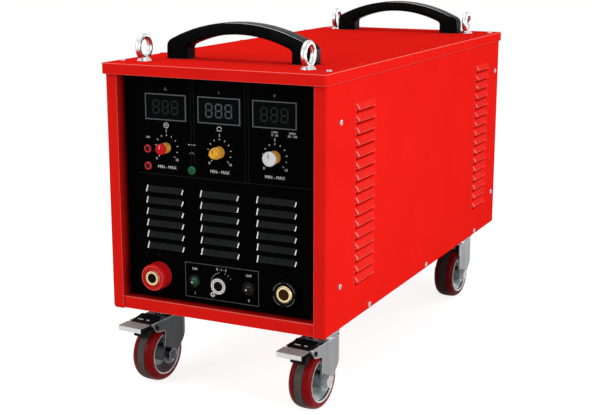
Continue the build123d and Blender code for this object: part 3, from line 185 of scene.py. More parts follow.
@dataclass(frozen=True)
class Finish:
    """A surface finish: colour with a soft mottle, gloss that varies, and the relief of its making."""

    name: str
    colour: str
    roughness: float
    mottle: Pair = (0.06, 60.0)  # share of the colour, and size
    grain: Pair = (3.0, 0.01)  # size and depth of the relief
    specular: float = 0.5
    metallic: float = 0.0
    coat: float = 0.0
    glow: float = 0.0
    gloss_spread: float = 0.06
    drawn: Triple = (1.0, 1.0, 1.0)  # scale of the pattern along each axis
    worn: Pair = (0.0, 1.0)  # reach of the painted highlight along edges, and its share of white
    fade: Optional[Pair] = None  # Y where the colour starts to sink, and where it is black

    def material(self) -> bpy.types.Material:
        """Makes the finish's node material once, and then shares it.

        Returns:
            The material.
        """
        found = bpy.data.materials.get(self.name)
        if found:
            return found
        made = bpy.data.materials.new(self.name)
        tree = bare_tree(made)
        place = add_node(tree, "ShaderNodeTexCoord").outputs["Object"]
        place = add_node(tree, "ShaderNodeMapping", {"Vector": place, "Scale": self.drawn}).outputs["Vector"]
        sockets = {
            "Base Color": self.colour_of(tree, place),
            "Roughness": self.gloss_of(tree, place),
            "Normal": self.relief_of(tree, place),
            "Metallic": self.metallic,
            "Specular IOR Level": self.specular,
            "Coat Weight": self.coat,
            "Coat Roughness": self.roughness / 2,
        }
        if self.glow:
            sockets["Emission Color"] = linear(self.colour)
            sockets["Emission Strength"] = self.glow
        shader = add_node(tree, "ShaderNodeBsdfPrincipled", sockets)
        add_node(tree, "ShaderNodeOutputMaterial", {"Surface": shader.outputs["BSDF"]})
        return made

    def colour_of(self, tree: Tree, place: Socket) -> Socket:
        """Colour that wanders by the mottle, sinks along the fade as painted shade, and is lightened along edges as
        a painted highlight.

        Args:
            tree: node tree of the material.
            place: place in the pattern.

        Returns:
            The colour's socket.
        """
        share, size = self.mottle
        stops = zip(NOISE_SPAN, (shaded(self.colour, 1 - share), shaded(self.colour, 1 + share)))
        colour = add_node(tree, "ShaderNodeValToRGB", {"Fac": noise(tree, place, size, detail=4.0)},
                          {"ramp": stops}).outputs["Color"]
        if self.fade:
            colour = self.faded(tree, colour)
        return self.rubbed(tree, colour) if self.worn[0] else colour

    def faded(self, tree: Tree, colour: Socket) -> Socket:
        """Sinks a colour to black along Y: painted shade, as deep in a recess.

        Args:
            tree: node tree of the material.
            colour: the colour before the coat.

        Returns:
            The colour's socket.
        """
        place = add_node(tree, "ShaderNodeTexCoord").outputs["Object"]
        along = add_node(tree, "ShaderNodeSeparateXYZ", {0: place}).outputs["Y"]
        start, end = self.fade
        share = add_node(tree, "ShaderNodeMapRange", {
            "Value": along, "From Min": start * MM, "From Max": end * MM}, {"interpolation_type": "SMOOTHSTEP"})
        return mixed(tree, share.outputs["Result"], colour, linear(BLACK_COAT))

    def rubbed(self, tree: Tree, colour: Socket) -> Socket:
        """Turns a colour lighter in a thin line along edges: a painted highlight.

        The line shows where the normal of the rounded edge turns away from the face's own.

        Args:
            tree: node tree of the material.
            colour: the colour away from the edges.

        Returns:
            The colour's socket.
        """
        reach, share = self.worn
        rounded = add_node(tree, "ShaderNodeBevel", {"Radius": reach * MM}, {"samples": EDGE_HIGHLIGHT_SAMPLES})
        flat = add_node(tree, "ShaderNodeNewGeometry").outputs["Normal"]
        turn = add_node(tree, "ShaderNodeVectorMath", {0: rounded.outputs["Normal"], 1: flat},
                        {"operation": "DOT_PRODUCT"}).outputs["Value"]
        edge = add_node(tree, "ShaderNodeMapRange", {
            "Value": turn, "From Min": EDGE_HIGHLIGHT_TURN[0], "From Max": EDGE_HIGHLIGHT_TURN[1]}).outputs["Result"]
        own = np.array(linear(self.colour))
        return mixed(tree, edge, colour, (own + share * (1 - own)).tolist())

    def gloss_of(self, tree: Tree, place: Socket) -> Socket:
        """Roughness that wanders by the gloss spread, in patches smaller than the mottle's.

        Args:
            tree: node tree of the material.
            place: place in the pattern.

        Returns:
            The roughness's socket.
        """
        return add_node(tree, "ShaderNodeMapRange", {
            "Value": noise(tree, place, self.mottle[1] / GLOSS_PATCHES, detail=5.0),
            "From Min": NOISE_SPAN[0], "From Max": NOISE_SPAN[1],
            "To Min": self.roughness - self.gloss_spread,
            "To Max": self.roughness + self.gloss_spread}).outputs["Result"]

    def relief_of(self, tree: Tree, place: Socket) -> Socket:
        """Fine relief: noise of the grain's size, as deep as the grain.

        Args:
            tree: node tree of the material.
            place: place in the pattern.

        Returns:
            The normal's socket.
        """
        size, depth = self.grain
        return add_node(tree, "ShaderNodeBump", {
            "Height": noise(tree, place, size, detail=2.0), "Strength": 1.0,
            "Distance": depth * MM}).outputs["Normal"]


BLACK_COAT = "#040404"

# Powder coat flows into a soft orange peel and is matt; a painted highlight makes it paler along its edges.
RED_PAINT = Finish("red_powder_coat", "#ea1f18", 0.5, (0.03, 90), (4.0, 0.012), 0.0, gloss_spread=0.04,
                   worn=(1.6, 0.16))
# Painted highlight: pale red along bends, hood ends, the sill's edge and the red socket's nose, where they catch the
# light.
HIGHLIGHT_RED = Finish("painted_highlight_red_edge", "#ee7468", 0.4, (0.1, 12), (2.0, 0.01), 0.05)
# Painted light: the hoods' slopes are made a little paler than the sheet round them, as lit from above.
LIT_RED = Finish("painted_light_red_hood", "#ee2d26", 0.45, (0.05, 14), (3.0, 0.01), 0.0)
# Painted shade: dark red below the hoods' lips, under the lid's flange and round the red socket's contact.
SHADED_RED = Finish("painted_shade_red", "#a20f0b", 0.6, (0.1, 12), (2.0, 0.01), 0.0)
# Black coat in a recess swallows light and shows a fine dusty speckle.
BLACK_PAINT = Finish("black_powder_coat", BLACK_COAT, 0.6, (0.3, 6), (1.8, 0.012), 0.005)
# Painted light: the louvre faces are made a little paler than the plate, as lit from above.
LIT_BLACK = Finish("painted_light_black_coat", "#1b1c1c", 0.5, (0.2, 9), (1.8, 0.012), 0.03)
# Moulded nylon has a fine spark-eroded texture that spreads its highlights, and a painted highlight along its edges.
BLACK_NYLON = Finish("black_moulded_nylon", "#050505", 0.32, (0.1, 35), (1.6, 0.02), 0.02, worn=(1.4, 0.1))
# Painted highlight: a thin bright line along the upper edge of each handle.
HIGHLIGHT_NYLON = Finish("painted_highlight_nylon", "#b4b6b8", 0.35, (0.15, 9), (2.0, 0.01), 0.1)
# A breaker's case is a duller, greyer moulding than the handles.
GREY_BREAKER = Finish("dark_grey_moulded_breaker_case", "#2a2b2d", 0.5, grain=(1.2, 0.01))
# A hollow that no light reaches is near black and dull.
DARK_HOLLOW = Finish("dark_hollow_and_painted_shade", "#120d09", 0.7, (0.2, 6), (2.0, 0.01), 0.02)
# Painted shade: a dark brown disc stands in for the shade inside the black socket's bore.
BROWN_HOLLOW = Finish("painted_shade_brown_bore", "#3a220f", 0.6, (0.35, 3), (1.5, 0.01), 0.02)
# Pressed steel is cloudy along its draw, with a painted highlight along its edges; the darker copy is the same zinc,
# as painted shade for the left casters.
pressed = partial(Finish, grain=(2.5, 0.02), metallic=1.0, drawn=(1.0, 1.0, 0.2))
ZINC_STEEL = pressed("zinc_plated_pressed_steel", "#868a8d", 0.3, (0.16, 20), gloss_spread=0.1, worn=(1.8, 1.0))
SHADED_ZINC_STEEL = pressed("black_chromated_pressed_steel", "#3a3d40", 0.26, (0.3, 20), gloss_spread=0.08,
                     worn=(1.8, 0.8))
# Screw heads keep a bright, slightly clouded zinc; on the right axles it is a painted highlight.
BRIGHT_ZINC = Finish("bright_zinc_screw_head", "#b6b9bb", 0.35, (0.12, 4), (1.5, 0.01), metallic=0.6)
# The tread of a pedal is scuffed to a warm grey between its ribs.
PEDAL_TREAD = Finish("scuffed_pedal_tread", "#8c8482", 0.55, (0.25, 5), (1.6, 0.03), 0.2, metallic=0.3)
# Chrome mirrors the white studio and the red lid.
CHROME = Finish("polished_chrome_plate", "#d2d4d5", 0.26, (0.03, 20), (5.0, 0.004), metallic=1.0,
                gloss_spread=0.03)
# A nickelled ring is satin and nearly white beside the black plate.
NICKEL = Finish("satin_nickel_ring", "#ecece8", 0.4, (0.06, 6), (2.0, 0.01), 0.1)
# Turned brass keeps fine tool rings and warms in the hollows.
BRASS = Finish("turned_brass", "#d8b87a", 0.26, (0.1, 10), (1.5, 0.01), metallic=1.0)
# Moulded plastic is smooth and even; a painted highlight makes it paler along its rims.
moulded = partial(Finish, grain=(1.5, 0.006))
RED_PLASTIC = moulded("red_moulded_abs", "#cf141a", 0.3, (0.05, 15), specular=0.06, worn=(0.8, 0.2))
YELLOW_PLASTIC = moulded("yellow_moulded_abs", "#efb02a", 0.34, (0.12, 6), specular=0.1, worn=(0.8, 0.3))
WHITE_PLASTIC = moulded("white_moulded_abs", "#dfe0e0", 0.3, (0.05, 8), specular=0.1)
# A meter's rim is a thin grey frame round a window that stays nearly black.
METER_RIM = Finish("grey_moulded_meter_rim", "#626568", 0.5, grain=(1.2, 0.008), specular=0.05)
METER_GLASS = Finish("smoked_acrylic_window", "#050606", 0.14, (0.1, 40), (20, 0.002), 0.02, gloss_spread=0.03)
# Unlit lenses are deep and glossy; their rings hold a little colour of their own and a faint glow, which is painted
# light.
lens = partial(Finish, roughness=0.12, mottle=(0.1, 6), grain=(2.0, 0.01))
DARK_RED_LENS = lens("dark_red_lamp_lens", "#210508", specular=0.12)
GREEN_LENS = lens("green_lamp_lens", "#0b4a24", specular=0.2)
lamp_ring = partial(Finish, roughness=0.3, mottle=(0.08, 6), specular=0.1)
RED_RING = lamp_ring("red_lamp_ring", "#d93038", glow=0.1)
GREEN_RING = lamp_ring("green_lamp_ring", "#17743f", glow=0.05)
# A cast hub is turned on its rim and keeps a fine sand texture in its dish.
CAST_ALUMINIUM = Finish("cast_and_turned_aluminium", "#7c8486", 0.4, (0.16, 9), (1.6, 0.03), metallic=0.9)
# Cast polyurethane is glossy where new and dulls where it rolls; the rear tyres and bands are darker copies, painted
# shade for the shade under the cabinet.
RED_TYRE = Finish("dark_red_polyurethane", "#7e080b", 0.3, (0.2, 14), (2.2, 0.015), 0.06)
GREY_TREAD = Finish("worn_grey_running_band", "#55504d", 0.6, (0.25, 7), (1.8, 0.03), 0.05)
SHADED_TYRE = Finish("painted_shade_dark_red_polyurethane", "#560507", 0.4, (0.3, 14), (2.2, 0.015), 0.04)
SHADED_TREAD = Finish("painted_shade_running_band", "#2f2a29", 0.65, (0.3, 7), (1.8, 0.03), 0.04)
# Rubber is dull and slightly chalky.
BLACK_RUBBER = Finish("black_ribbed_rubber", "#0a0a0b", 0.55, (0.2, 6), (1.4, 0.03), 0.08)
# A ground lip and the hubs' turned rims show bare metal, nearly white; at the louvres' ends the same white is a
# painted highlight.
BARE_STEEL_AND_HIGHLIGHT = Finish("bare_steel_and_painted_highlight", "#dcdddc", 0.4, (0.12, 4), (1.5, 0.01), 0.1, metallic=0.2)
GROUND_LIP = Finish("ground_pedal_lip", "#f4f4f2", 0.4, (0.06, 6), (1.5, 0.01), 0.2)
# Screen prints lie flat and matt on the plates, and thin out where they are rubbed.
ink = partial(Finish, roughness=0.5, grain=(1.0, 0.01))
WHITE_INK = ink("white_screen_print", "#dcdcda", mottle=(0.1, 5), specular=0.05)
GREY_INK = ink("grey_screen_print", "#85878a", mottle=(0.1, 5), specular=0.05)
DULL_INK = ink("rubbed_grey_screen_print", "#55565a", mottle=(0.3, 9), specular=0.03)
FAINT_INK = ink("dark_grey_screen_print", "#1d1e20", mottle=(0.1, 8), specular=0.02)
# Segments that are off show as ghosts behind the smoked window.
segment = partial(Finish, roughness=0.4, mottle=(0.2, 9), grain=(1.0, 0.01), specular=0.02)
DIM_SEGMENT = segment("unlit_display_segment", "#26292a")
PALE_SEGMENT = segment("pale_display_segment", "#505456")
# Inside the cabinet: laminations and windings keep their lines, and the sink its draw marks.
CORE_STEEL = Finish("varnished_core_laminations", "#4a4643", 0.5, (0.15, 12), (1.0, 0.05), metallic=0.4,
                    drawn=(1.0, 8.0, 1.0))
COPPER = Finish("enamelled_copper", "#b5673a", 0.35, (0.15, 12), (2.5, 0.08), metallic=0.9, drawn=(0.2, 0.2, 1.0))
ALUMINIUM = Finish("extruded_aluminium", "#c4c7c9", 0.35, grain=(2.0, 0.01), metallic=1.0, drawn=(1.0, 0.1, 1.0))
BOARD = Finish("green_board_laminate", "#15532c", 0.4, (0.25, 9), coat=0.3)

SLOT_FINISHES = {
    "red_painted_sheet": RED_PAINT, "black_painted_sheet": BLACK_PAINT, "black_moulding": BLACK_NYLON,
    "breaker_moulding": GREY_BREAKER, "zinc_plated_steel": ZINC_STEEL, "polished_steel": CHROME,
    "turned_brass": BRASS, "red_moulding": RED_PLASTIC, "yellow_moulding": YELLOW_PLASTIC,
    "white_moulding": WHITE_PLASTIC, "meter_frame": METER_RIM, "meter_window": METER_GLASS,
    "red_lens": DARK_RED_LENS, "green_lens": GREEN_LENS, "wheel_metal": CAST_ALUMINIUM,
    "wheel_tyre": RED_TYRE, "core_steel": CORE_STEEL, "copper": COPPER, "sink_aluminium": ALUMINIUM,
    "circuit_board": BOARD,
}
OWN_FINISHES = {
    # The left forks and axles take a darker copy of the zinc as painted shade; the right axles take the bright zinc
    # as a painted highlight.
    SHADED_ZINC_STEEL: ("front_left_fork", "rear_left_fork", "front_left_axle", "rear_left_axle"),
    BRIGHT_ZINC: ("cabinet_screws", "front_right_axle", "rear_right_axle"),
    BLACK_RUBBER: ("front_left_pedal", "front_right_pedal"),
    YELLOW_PLASTIC: ("current_knob", "voltage_knob"),
    BLACK_NYLON: ("mode_selector",),
}


class Face(Enum):
    """An upright face of the cabinet: which way is right, and which way is out."""

    FRONT = ((1.0, 0.0, 0.0), (0.0, -1.0, 0.0))
    REAR = ((-1.0, 0.0, 0.0), (0.0, 1.0, 0.0))
    RIGHT = ((0.0, 1.0, 0.0), (1.0, 0.0, 0.0))
    LEFT = ((0.0, -1.0, 0.0), (-1.0, 0.0, 0.0))

    @property
    def right(self) -> Array:
        """Direction to the right of someone who looks at the face."""
        return np.array(self.value[0])

    @property
    def out(self) -> Array:
        """Direction out of the face."""
        return np.array(self.value[1])

    def on(self, along: Any, z: Any, plane: float) -> Array:
        """Points on the face as an array of triples.

        Args:
            along: X on the front and rear, Y on the sides.
            z: height.
            plane: Y of the front or rear, X of a side.

        Returns:
            The points, with one more axis than along and z.
        """
        along, z = np.broadcast_arrays(np.asarray(along, float), np.asarray(z, float))
        flat = np.full_like(along, plane)
        return np.stack((along, flat, z) if self.out[0] == 0 else (flat, along, z), axis=-1)


SIDES = (Face.LEFT, Face.RIGHT)


def unit(vectors: Array) -> Array:
    """Vectors of length one along the last axis."""
    return vectors / np.linalg.norm(vectors, axis=-1, keepdims=True)


def carried(paths: Array, out: Array, width: Any, height: float, ring: bool = False) -> Array:
    """Flat bars carried along paths on a face.

    Each station is the path point, moved half the width to each side, at the face and at the bar's
    height above it. At a corner the side is mitred: divided by the cosine of half the turn.

    Args:
        paths: n paths of m points each, (n, m, 3).
        out: direction out of the face, one or one for each station.
        width: bar width, one number or one for each station.
        height: how far the bar stands above the face.
        ring: the paths close on themselves.

    Returns:
        Points of the bars, (n, m, 4, 3).
    """
    after = np.roll(paths, -1, axis=1) - paths
    before = np.roll(after, 1, axis=1)
    if not ring:
        after[:, -1] = after[:, -2]
        before[:, 0] = after[:, 0]
    after, before = unit(after), unit(before)
    mean = unit(after + before)
    mitre = 1 / np.sum(mean * after, axis=-1, keepdims=True)
    half = np.broadcast_to(np.asarray(width, float), paths.shape[:2])[..., None] / 2
    side = np.cross(mean, out) * mitre * half
    low = paths - SUNK * out
    high = paths + height * out
    return np.stack((low - side, high - side, high + side, low + side), axis=2)


def turned(profile: Profile, centres: Array, axis: Sequence[float], segments: int = ROUND) -> Array:
    """Profiles turned about an axis: centre + along * axis + radius * (side cos t + up sin t).

    Args:
        profile: (along, radius) points.
        centres: middles of the n turned pieces, (n, 3).
        axis: direction of the axis.
        segments: steps of t round the axis.

    Returns:
        Points of the pieces, (n, segments, points of the profile, 3).
    """
    along, radius = np.array(profile, float).T
    axis = unit(np.array(axis, float))
    side = unit(np.cross((1.0, 0.0, 0.0) if abs(axis[2]) > UPRIGHT else UP, axis))
    t = np.linspace(0, 2 * np.pi, segments, endpoint=False)[:, None, None]
    spin = side * np.cos(t) + np.cross(axis, side) * np.sin(t)
    rows = along[:, None] * axis + radius[:, None] * spin
    return np.asarray(centres, float)[:, None, None, :] + rows


def disc(level: float, radius: float) -> Profile:
    """Profile of a thin disc whose face is at this level."""
    return [(level, 0.0), (level, radius), (level - SUNK, radius), (level - SUNK, 0.0)]


def flat_ring(inner: float, outer: float) -> Profile:
    """Profile of a thin ring between two radii on a turned face."""
    return [(-SUNK, inner), (SUNK, inner), (SUNK, outer), (-SUNK, outer)]


def surface(name: str, points: Array, ring: bool, loop: bool) -> bpy.types.Object:
    """Mesh of n grids: rows join rows, columns join columns, seams and poles are merged.

    Args:
        name: name of the piece.
        points: the grids in millimetres, (n, rows, columns, 3).
        ring: the last row joins the first.
        loop: the last column joins the first; a loop that is no ring gets a cap at each end.

    Returns:
        The piece, at the origin.
    """
    count, rows, columns, _ = points.shape
    index = np.arange(count * rows * columns).reshape(count, rows, columns)
    ahead = np.roll(index, -1, axis=1)
    quads = np.stack((index, ahead, np.roll(ahead, -1, axis=2), np.roll(index, -1, axis=2)), axis=-1)
    quads = quads[:, :rows if ring else rows - 1, :columns if loop else columns - 1]
    faces = quads.reshape(-1, 4).tolist()
    if loop and not ring:
        faces += index[:, 0].tolist() + index[:, -1].tolist()
    return piece(name, points.reshape(-1, 3) * MM, faces)


def piece(name: str, vertices: Array, faces: list[list[int]]) -> bpy.types.Object:
    """Object with its doubles merged and its faces turned outwards.

    Args:
        name: name of the piece.
        vertices: its points in metres, (n, 3).
        faces: the points of each face.

    Returns:
        The piece, at the origin.
    """
    mesh = bpy.data.meshes.new(name)
    mesh.from_pydata(vertices.tolist(), [], faces)
    shell = bmesh.new()
    shell.from_mesh(mesh)
    bmesh.ops.remove_doubles(shell, verts=shell.verts, dist=MERGE_M)
    bmesh.ops.recalc_face_normals(shell, faces=shell.faces)
    shell.to_mesh(mesh)
    shell.free()
    mesh.polygons.foreach_set("use_smooth", np.ones(len(mesh.polygons), bool))
    mesh.set_sharp_from_angle(angle=CREASE)
    made = bpy.data.objects.new(name, mesh)
    bpy.context.scene.collection.objects.link(made)
    return made


def settle(made: bpy.types.Object, body: str, finish: Finish) -> bpy.types.Object:
    """Gives a piece its finish and its body, and reports it.

    Args:
        made: the piece.
        body: the body that it rides on.
        finish: its finish.

    Returns:
        The piece.
    """
    made.data.materials.append(finish.material())
    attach(made, body)
    log.info("%s on %s: %s, %d faces", made.name, body, finish.name, len(made.data.polygons))
    return made


def lay(name: str, finish: Finish, *grids: Array, body: str = CABINET, ring: bool = False,
        slot: Optional[str] = None) -> bpy.types.Object:
    """Builds one closed piece from grids and settles it on a body.

    Args:
        name: name of the piece.
        finish: its finish.
        grids: points from carried() or turned().
        body: the body that it rides on.
        ring: the grids close on themselves, as turned ones do.
        slot: material slot of the solid that it stands for; not used.

    Returns:
        The piece.
    """
    return settle(surface(name, np.concatenate(grids), ring, True), body, finish)


def print_words(name: str, finish: Finish, labels: Sequence[Label], plane: float,
                face: Face = Face.FRONT) -> None:
    """Prints words on a face of the cabinet, as one piece.

    Args:
        name: name of the piece.
        finish: the ink.
        labels: the words with their places and heights.
        plane: Y of the face.
        face: face that carries the words.
    """
    vertices, faces, start = [], [], 0
    for text, x, z, height in labels:
        curve = bpy.data.curves.new(name, "FONT")
        curve.body = text
        curve.size = height / CAPITAL
        curve.align_x, curve.align_y = "CENTER", "CENTER"
        curve.extrude = INK
        curve.resolution_u = LETTER_STEPS
        holder = bpy.data.objects.new(name, curve)
        flat = bpy.data.meshes.new_from_object(holder)
        spots = np.empty(len(flat.vertices) * 3)
        flat.vertices.foreach_get("co", spots)
        across, above, before = np.split(spots.reshape(-1, 3), 3, axis=1)
        vertices.append(face.on(x, z, plane) + across * face.right + above * UP + before * face.out)
        loops = np.empty(len(flat.loops), np.int32)
        flat.loops.foreach_get("vertex_index", loops)
        firsts = np.empty(len(flat.polygons), np.int32)
        flat.polygons.foreach_get("loop_start", firsts)
        faces += [polygon.tolist() for polygon in np.split(start + loops, firsts[1:])]
        start += len(across)
        bpy.data.objects.remove(holder)
        bpy.data.meshes.remove(flat)
    settle(piece(name, np.concatenate(vertices) * MM, faces), CABINET, finish)


def corners(node: str) -> tuple[Array, Array]:
    """Lowest and highest corner of a solid at rest, in millimetres."""
    low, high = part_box(node)
    return np.array(low) / MM, np.array(high) / MM


def joint_row(joint: str) -> Mapping[str, Any]:
    """Row of a joint in the frame."""
    return next(row for row in frame["joints"] if row["name"] == joint)


def pivot(joint: str) -> Array:
    """Place of a joint at rest, in millimetres."""
    return np.array(joint_row(joint)["pos_m"]) / MM


@dataclass
class Solids:
    """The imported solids: each takes the finish of its slot, apart from a few of their own."""

    def dress(self) -> None:
        """Gives every solid its material and its smoothing."""
        own = {node: finish for finish, nodes in OWN_FINISHES.items() for node in nodes}
        tree = self.smoothing()
        for row in frame["record"]["subparts"]:
            node = frame["nodes"][row["node"]]
            finish = own.get(row["node"], SLOT_FINISHES[row["material_slot"]])
            node.data.materials.clear()
            node.data.materials.append(finish.material())
            node.modifiers.new("smooth", "NODES").node_group = tree
        log.info("%d solids dressed", len(frame["nodes"]))

    def smoothing(self) -> Tree:
        """Node group that merges loose triangles, shades them smooth and keeps edges past the crease sharp.

        Returns:
            The node group.
        """
        tree = bpy.data.node_groups.new("smooth_solids", "GeometryNodeTree")
        for way in ("INPUT", "OUTPUT"):
            tree.interface.new_socket("Geometry", in_out=way, socket_type="NodeSocketGeometry")
        start = add_node(tree, "NodeGroupInput").outputs[0]
        merged = add_node(tree, "GeometryNodeMergeByDistance", {"Geometry": start, "Distance": SOLID_MERGE_M})
        smooth = add_node(tree, "GeometryNodeSetShadeSmooth", {
            "Geometry": merged.outputs[0], "Shade Smooth": True})
        angle = add_node(tree, "GeometryNodeInputMeshEdgeAngle").outputs["Unsigned Angle"]
        edges = add_node(tree, "GeometryNodeSetShadeSmooth", {
            "Geometry": smooth.outputs[0], "Selection": combined(tree, "GREATER_THAN", angle, CREASE),
            "Shade Smooth": False}, {"domain": "EDGE"})
        add_node(tree, "NodeGroupOutput", {0: edges.outputs[0]})
        return tree


@dataclass(frozen=True)
class LouvreField:
    """Columns of pressed louvres on a face: hoods that slope out and down from the sheet."""

    face: Face
    plane: float
    top: float
    columns: tuple[float, ...]
    rows: int
    pitch: float
    length: float
    height: float
    depth: float
    taper: float
    end_inset: float = 0.6  # of an end bar's width

    @property
    def out(self) -> Array:
        """Direction out of the sloping faces."""
        return unit(self.height * self.face.out + self.depth * UP)

    @property
    def tops(self) -> tuple[Array, Array]:
        """Middle and height of every louvre's top, (n, 1) each."""
        column, row = np.meshgrid(self.columns, np.arange(self.rows), indexing="ij")
        return column.reshape(-1, 1), self.top - row.reshape(-1, 1) * self.pitch

    def paths(self, share: Sequence[float], side: float, inset: Any = 0.0) -> Array:
        """Paths down the sloping faces of all the louvres.

        At a share s of its height, the face of a louvre lies s times the depth in front of the
        sheet, and its end s times the taper inside the length.

        Args:
            share: shares of the height at the stations of a path.
            side: -1 and 1 for a path at an end, 0 for one down the middle.
            inset: how far a path lies inside the end of the louvre, one number or one for each station.

        Returns:
            The paths, (n, stations, 3).
        """
        share = np.array(share)
        middle, top = self.tops
        along = middle + side * (self.length / 2 - inset - self.taper * share)
        flat = self.face.on(along, top - self.height * share, self.plane)
        return flat + (self.depth * share)[:, None] * self.face.out

    def ends(self, share: Sequence[float], side: float, width: Any) -> Array:
        """Bars along one end of every louvre, on its sloping face, as wide as given at each station."""
        width = np.broadcast_to(np.asarray(width, float), len(share))
        return carried(self.paths(share, side, self.end_inset * width), self.out, width, 2 * INK)

    def faces(self, span: Sequence[float], margin: float) -> Array:
        """Plates on the sloping faces over a span of their height, short of each end by a margin."""
        return carried(self.paths(span, 0.0), self.out, self.length - 2 * margin, INK)

    def slits(self, width: float) -> Array:
        """Painted-shadow bars on the sheet right below the lips, from end to end of each lip.

        Args:
            width: width of a bar.

        Returns:
            Points of the bars, as from carried().
        """
        half = self.length / 2 - self.taper
        middle, top = self.tops
        paths = self.face.on(middle + np.array((-half, half)), top - self.height - width / 2, self.plane)
        return carried(paths, self.face.out, width, INK)


@dataclass
class SidePanels:
    """Side sheets and lid: painted shadows below the louvres' lips and the lid's flange, painted highlights on the
    louvres' ends and along the lid's bends, and painted light on the louvres' slopes.
    """

    columns: Pair = (151.0, 119.0)  # from the front and from the rear
    rows: int = 16
    pitch: float = 19.1
    length: float = 80.0
    height: float = 12.0
    depth: float = 5.0
    taper: float = 4.0
    drop: float = 56.3
    slit: float = 6.0
    end_span: Pair = (0.2, 0.84)
    end_width: Pair = (2.0, 4.6)
    slope_span: Pair = (0.08, 0.92)
    lid_bend: float = 0.6
    lid_line: float = 1.1
    lid_shade: float = 1.8

    def build(self) -> None:
        """Builds the pieces of both sides and of the lid."""
        lid_low, lid_high = corners("top_cover")
        low, high = corners("right_side_panel")
        half = -corners("left_side_panel")[0][0] - self.depth
        middles = (low[1] + self.columns[0], high[1] - self.columns[1])
        hoods = [LouvreField(side, side.out[0] * half, lid_high[2] - self.drop, middles, self.rows, self.pitch,
                             self.length, self.height, self.depth, self.taper) for side in SIDES]
        # Painted shadows below the lips, painted highlights on the hood ends, and paler slopes as painted light.
        lay("side_louvre_painted_shadows", SHADED_RED, *(hood.slits(self.slit) for hood in hoods))
        lay("side_louvre_end_highlights", HIGHLIGHT_RED, *(hood.ends(self.end_span, -1.0, self.end_width) for hood in hoods))
        lay("side_louvre_lit_slopes", LIT_RED, *(hood.faces(self.slope_span, max(self.end_width)) for hood in hoods))
        # Painted shadow on the sheet under the lid's flange.
        level = lid_low[2] - self.lid_shade / 2
        shades = [carried(side.on((low[1], high[1]), level, side.out[0] * half)[None], side.out, self.lid_shade, INK)
                  for side in SIDES]
        lay("lid_shade_lines", SHADED_RED, *shades)
        self.lid_edges(lid_low, lid_high)

    def lid_edges(self, low: Array, high: Array) -> None:
        """Thin painted highlight lines along the four bends of the lid, on the middle of each bend.

        Args:
            low: lowest corner of the lid.
            high: highest corner of the lid.
        """
        x0, y0, x1, y1 = (*(low[:2] + self.lid_bend), *(high[:2] - self.lid_bend))
        z = high[2] - self.lid_bend
        around = np.array(((x0, y0, z), (x1, y0, z), (x1, y1, z), (x0, y1, z)))
        edges = np.stack((around, np.roll(around, -1, axis=0)), axis=1)
        faces = (Face.FRONT, Face.RIGHT, Face.REAR, Face.LEFT)
        lines = [carried(edge[None], unit(face.out + UP), self.lid_line, SUNK) for edge, face in zip(edges, faces)]
        lay("lid_bend_highlights", HIGHLIGHT_RED, *lines)


@dataclass
class Recess:
    """Front recess: painted shade that darkens the jambs and the sill towards the plates, and a painted highlight
    along the sill's edge.
    """

    gap: float = 0.3  # between the plates and the jambs
    bare: float = 1.0  # rim that stays red
    sill_line: float = 1.1
    fade: Pair = (0.0, 27.0)  # from the cabinet's front

    def build(self) -> None:
        """Lays the painted shade on both jambs and on the sill, and the painted highlight along the sill's edge."""
        front = corners("right_side_panel")[0][1]
        sill = corners("base_tray")[0][1]
        low, high = corners("control_panel")
        bottom, plane = corners("louvre_panel")[0][2], low[1]
        across = (low[0], high[0])
        # Painted highlight along the sill's front edge.
        edge = Face.FRONT.on(across, bottom - self.sill_line / 2, sill)
        lay("sill_line", HIGHLIGHT_RED, carried(edge[None], Face.FRONT.out, self.sill_line, SUNK))
        depth = plane - front - self.bare
        coats = []
        for side in SIDES:
            jamb = side.on(plane - depth / 2, (bottom, high[2]), side.out[0] * (high[0] + self.gap))
            coats.append(carried(jamb[None], -side.out, depth, INK))
        depth = plane - sill - self.bare
        coats.append(carried(Face.FRONT.on(across, bottom, plane - depth / 2)[None], UP, depth, INK))
        # Painted shade: dull red that sinks to black where it meets the plates.
        recess_shade = Finish("painted_shade_on_red", "#c21712", 0.6, (0.05, 20), specular=0.0,
                       fade=(front + self.fade[0], front + self.fade[1]))
        lay("painted_recess_shade", recess_shade, *coats)


@dataclass
class Handles:
    """Arch handles: a painted highlight line along the upper edge, over one side of the crown, from either side."""

    shoulder: float = 29.0
    edge_radius: float = 4.0
    edge_middle: float = 45.0  # degrees round the edge
    span: Pair = (-5.0, 26.0)  # degrees from the crown
    steps: int = 40
    width: float = 1.3

    def build(self) -> None:
        """Lays the lines along the crown's arc, on the middle of the rounded edge.

        The crown is the arc through both shoulders and the top: radius = (half ** 2 + rise ** 2) / (2 * rise).
        A line is widest in its middle and narrows to its ends as the root of a sine.
        """
        u = np.linspace(0, 1, self.steps)
        t = np.radians(self.span[0] + (self.span[1] - self.span[0]) * u)
        widths = SUNK + self.width * np.sqrt(np.abs(np.sin(np.pi * u)))
        inset = self.edge_radius * (1 - cos(radians(self.edge_middle)))
        for node in ("front_handle", "rear_handle"):
            low, high = corners(node)
            half, rise = (high[0] - low[0]) / 2, high[2] - low[2] - self.shoulder
            radius = (half ** 2 + rise ** 2) / (2 * rise)
            lines = []
            for face, plane in ((Face.FRONT, low[1] + inset), (Face.REAR, high[1] - inset)):
                way = np.stack((face.right[0] * np.sin(t), np.zeros_like(t), np.cos(t)), axis=-1)
                path = np.array((low[0] + half, plane, high[2] - radius)) + (radius - inset) * way
                lines.append(carried(path[None], unit(way + face.out), widths, SUNK))
            lay(node + "_highlight_lines", HIGHLIGHT_NYLON, *lines)


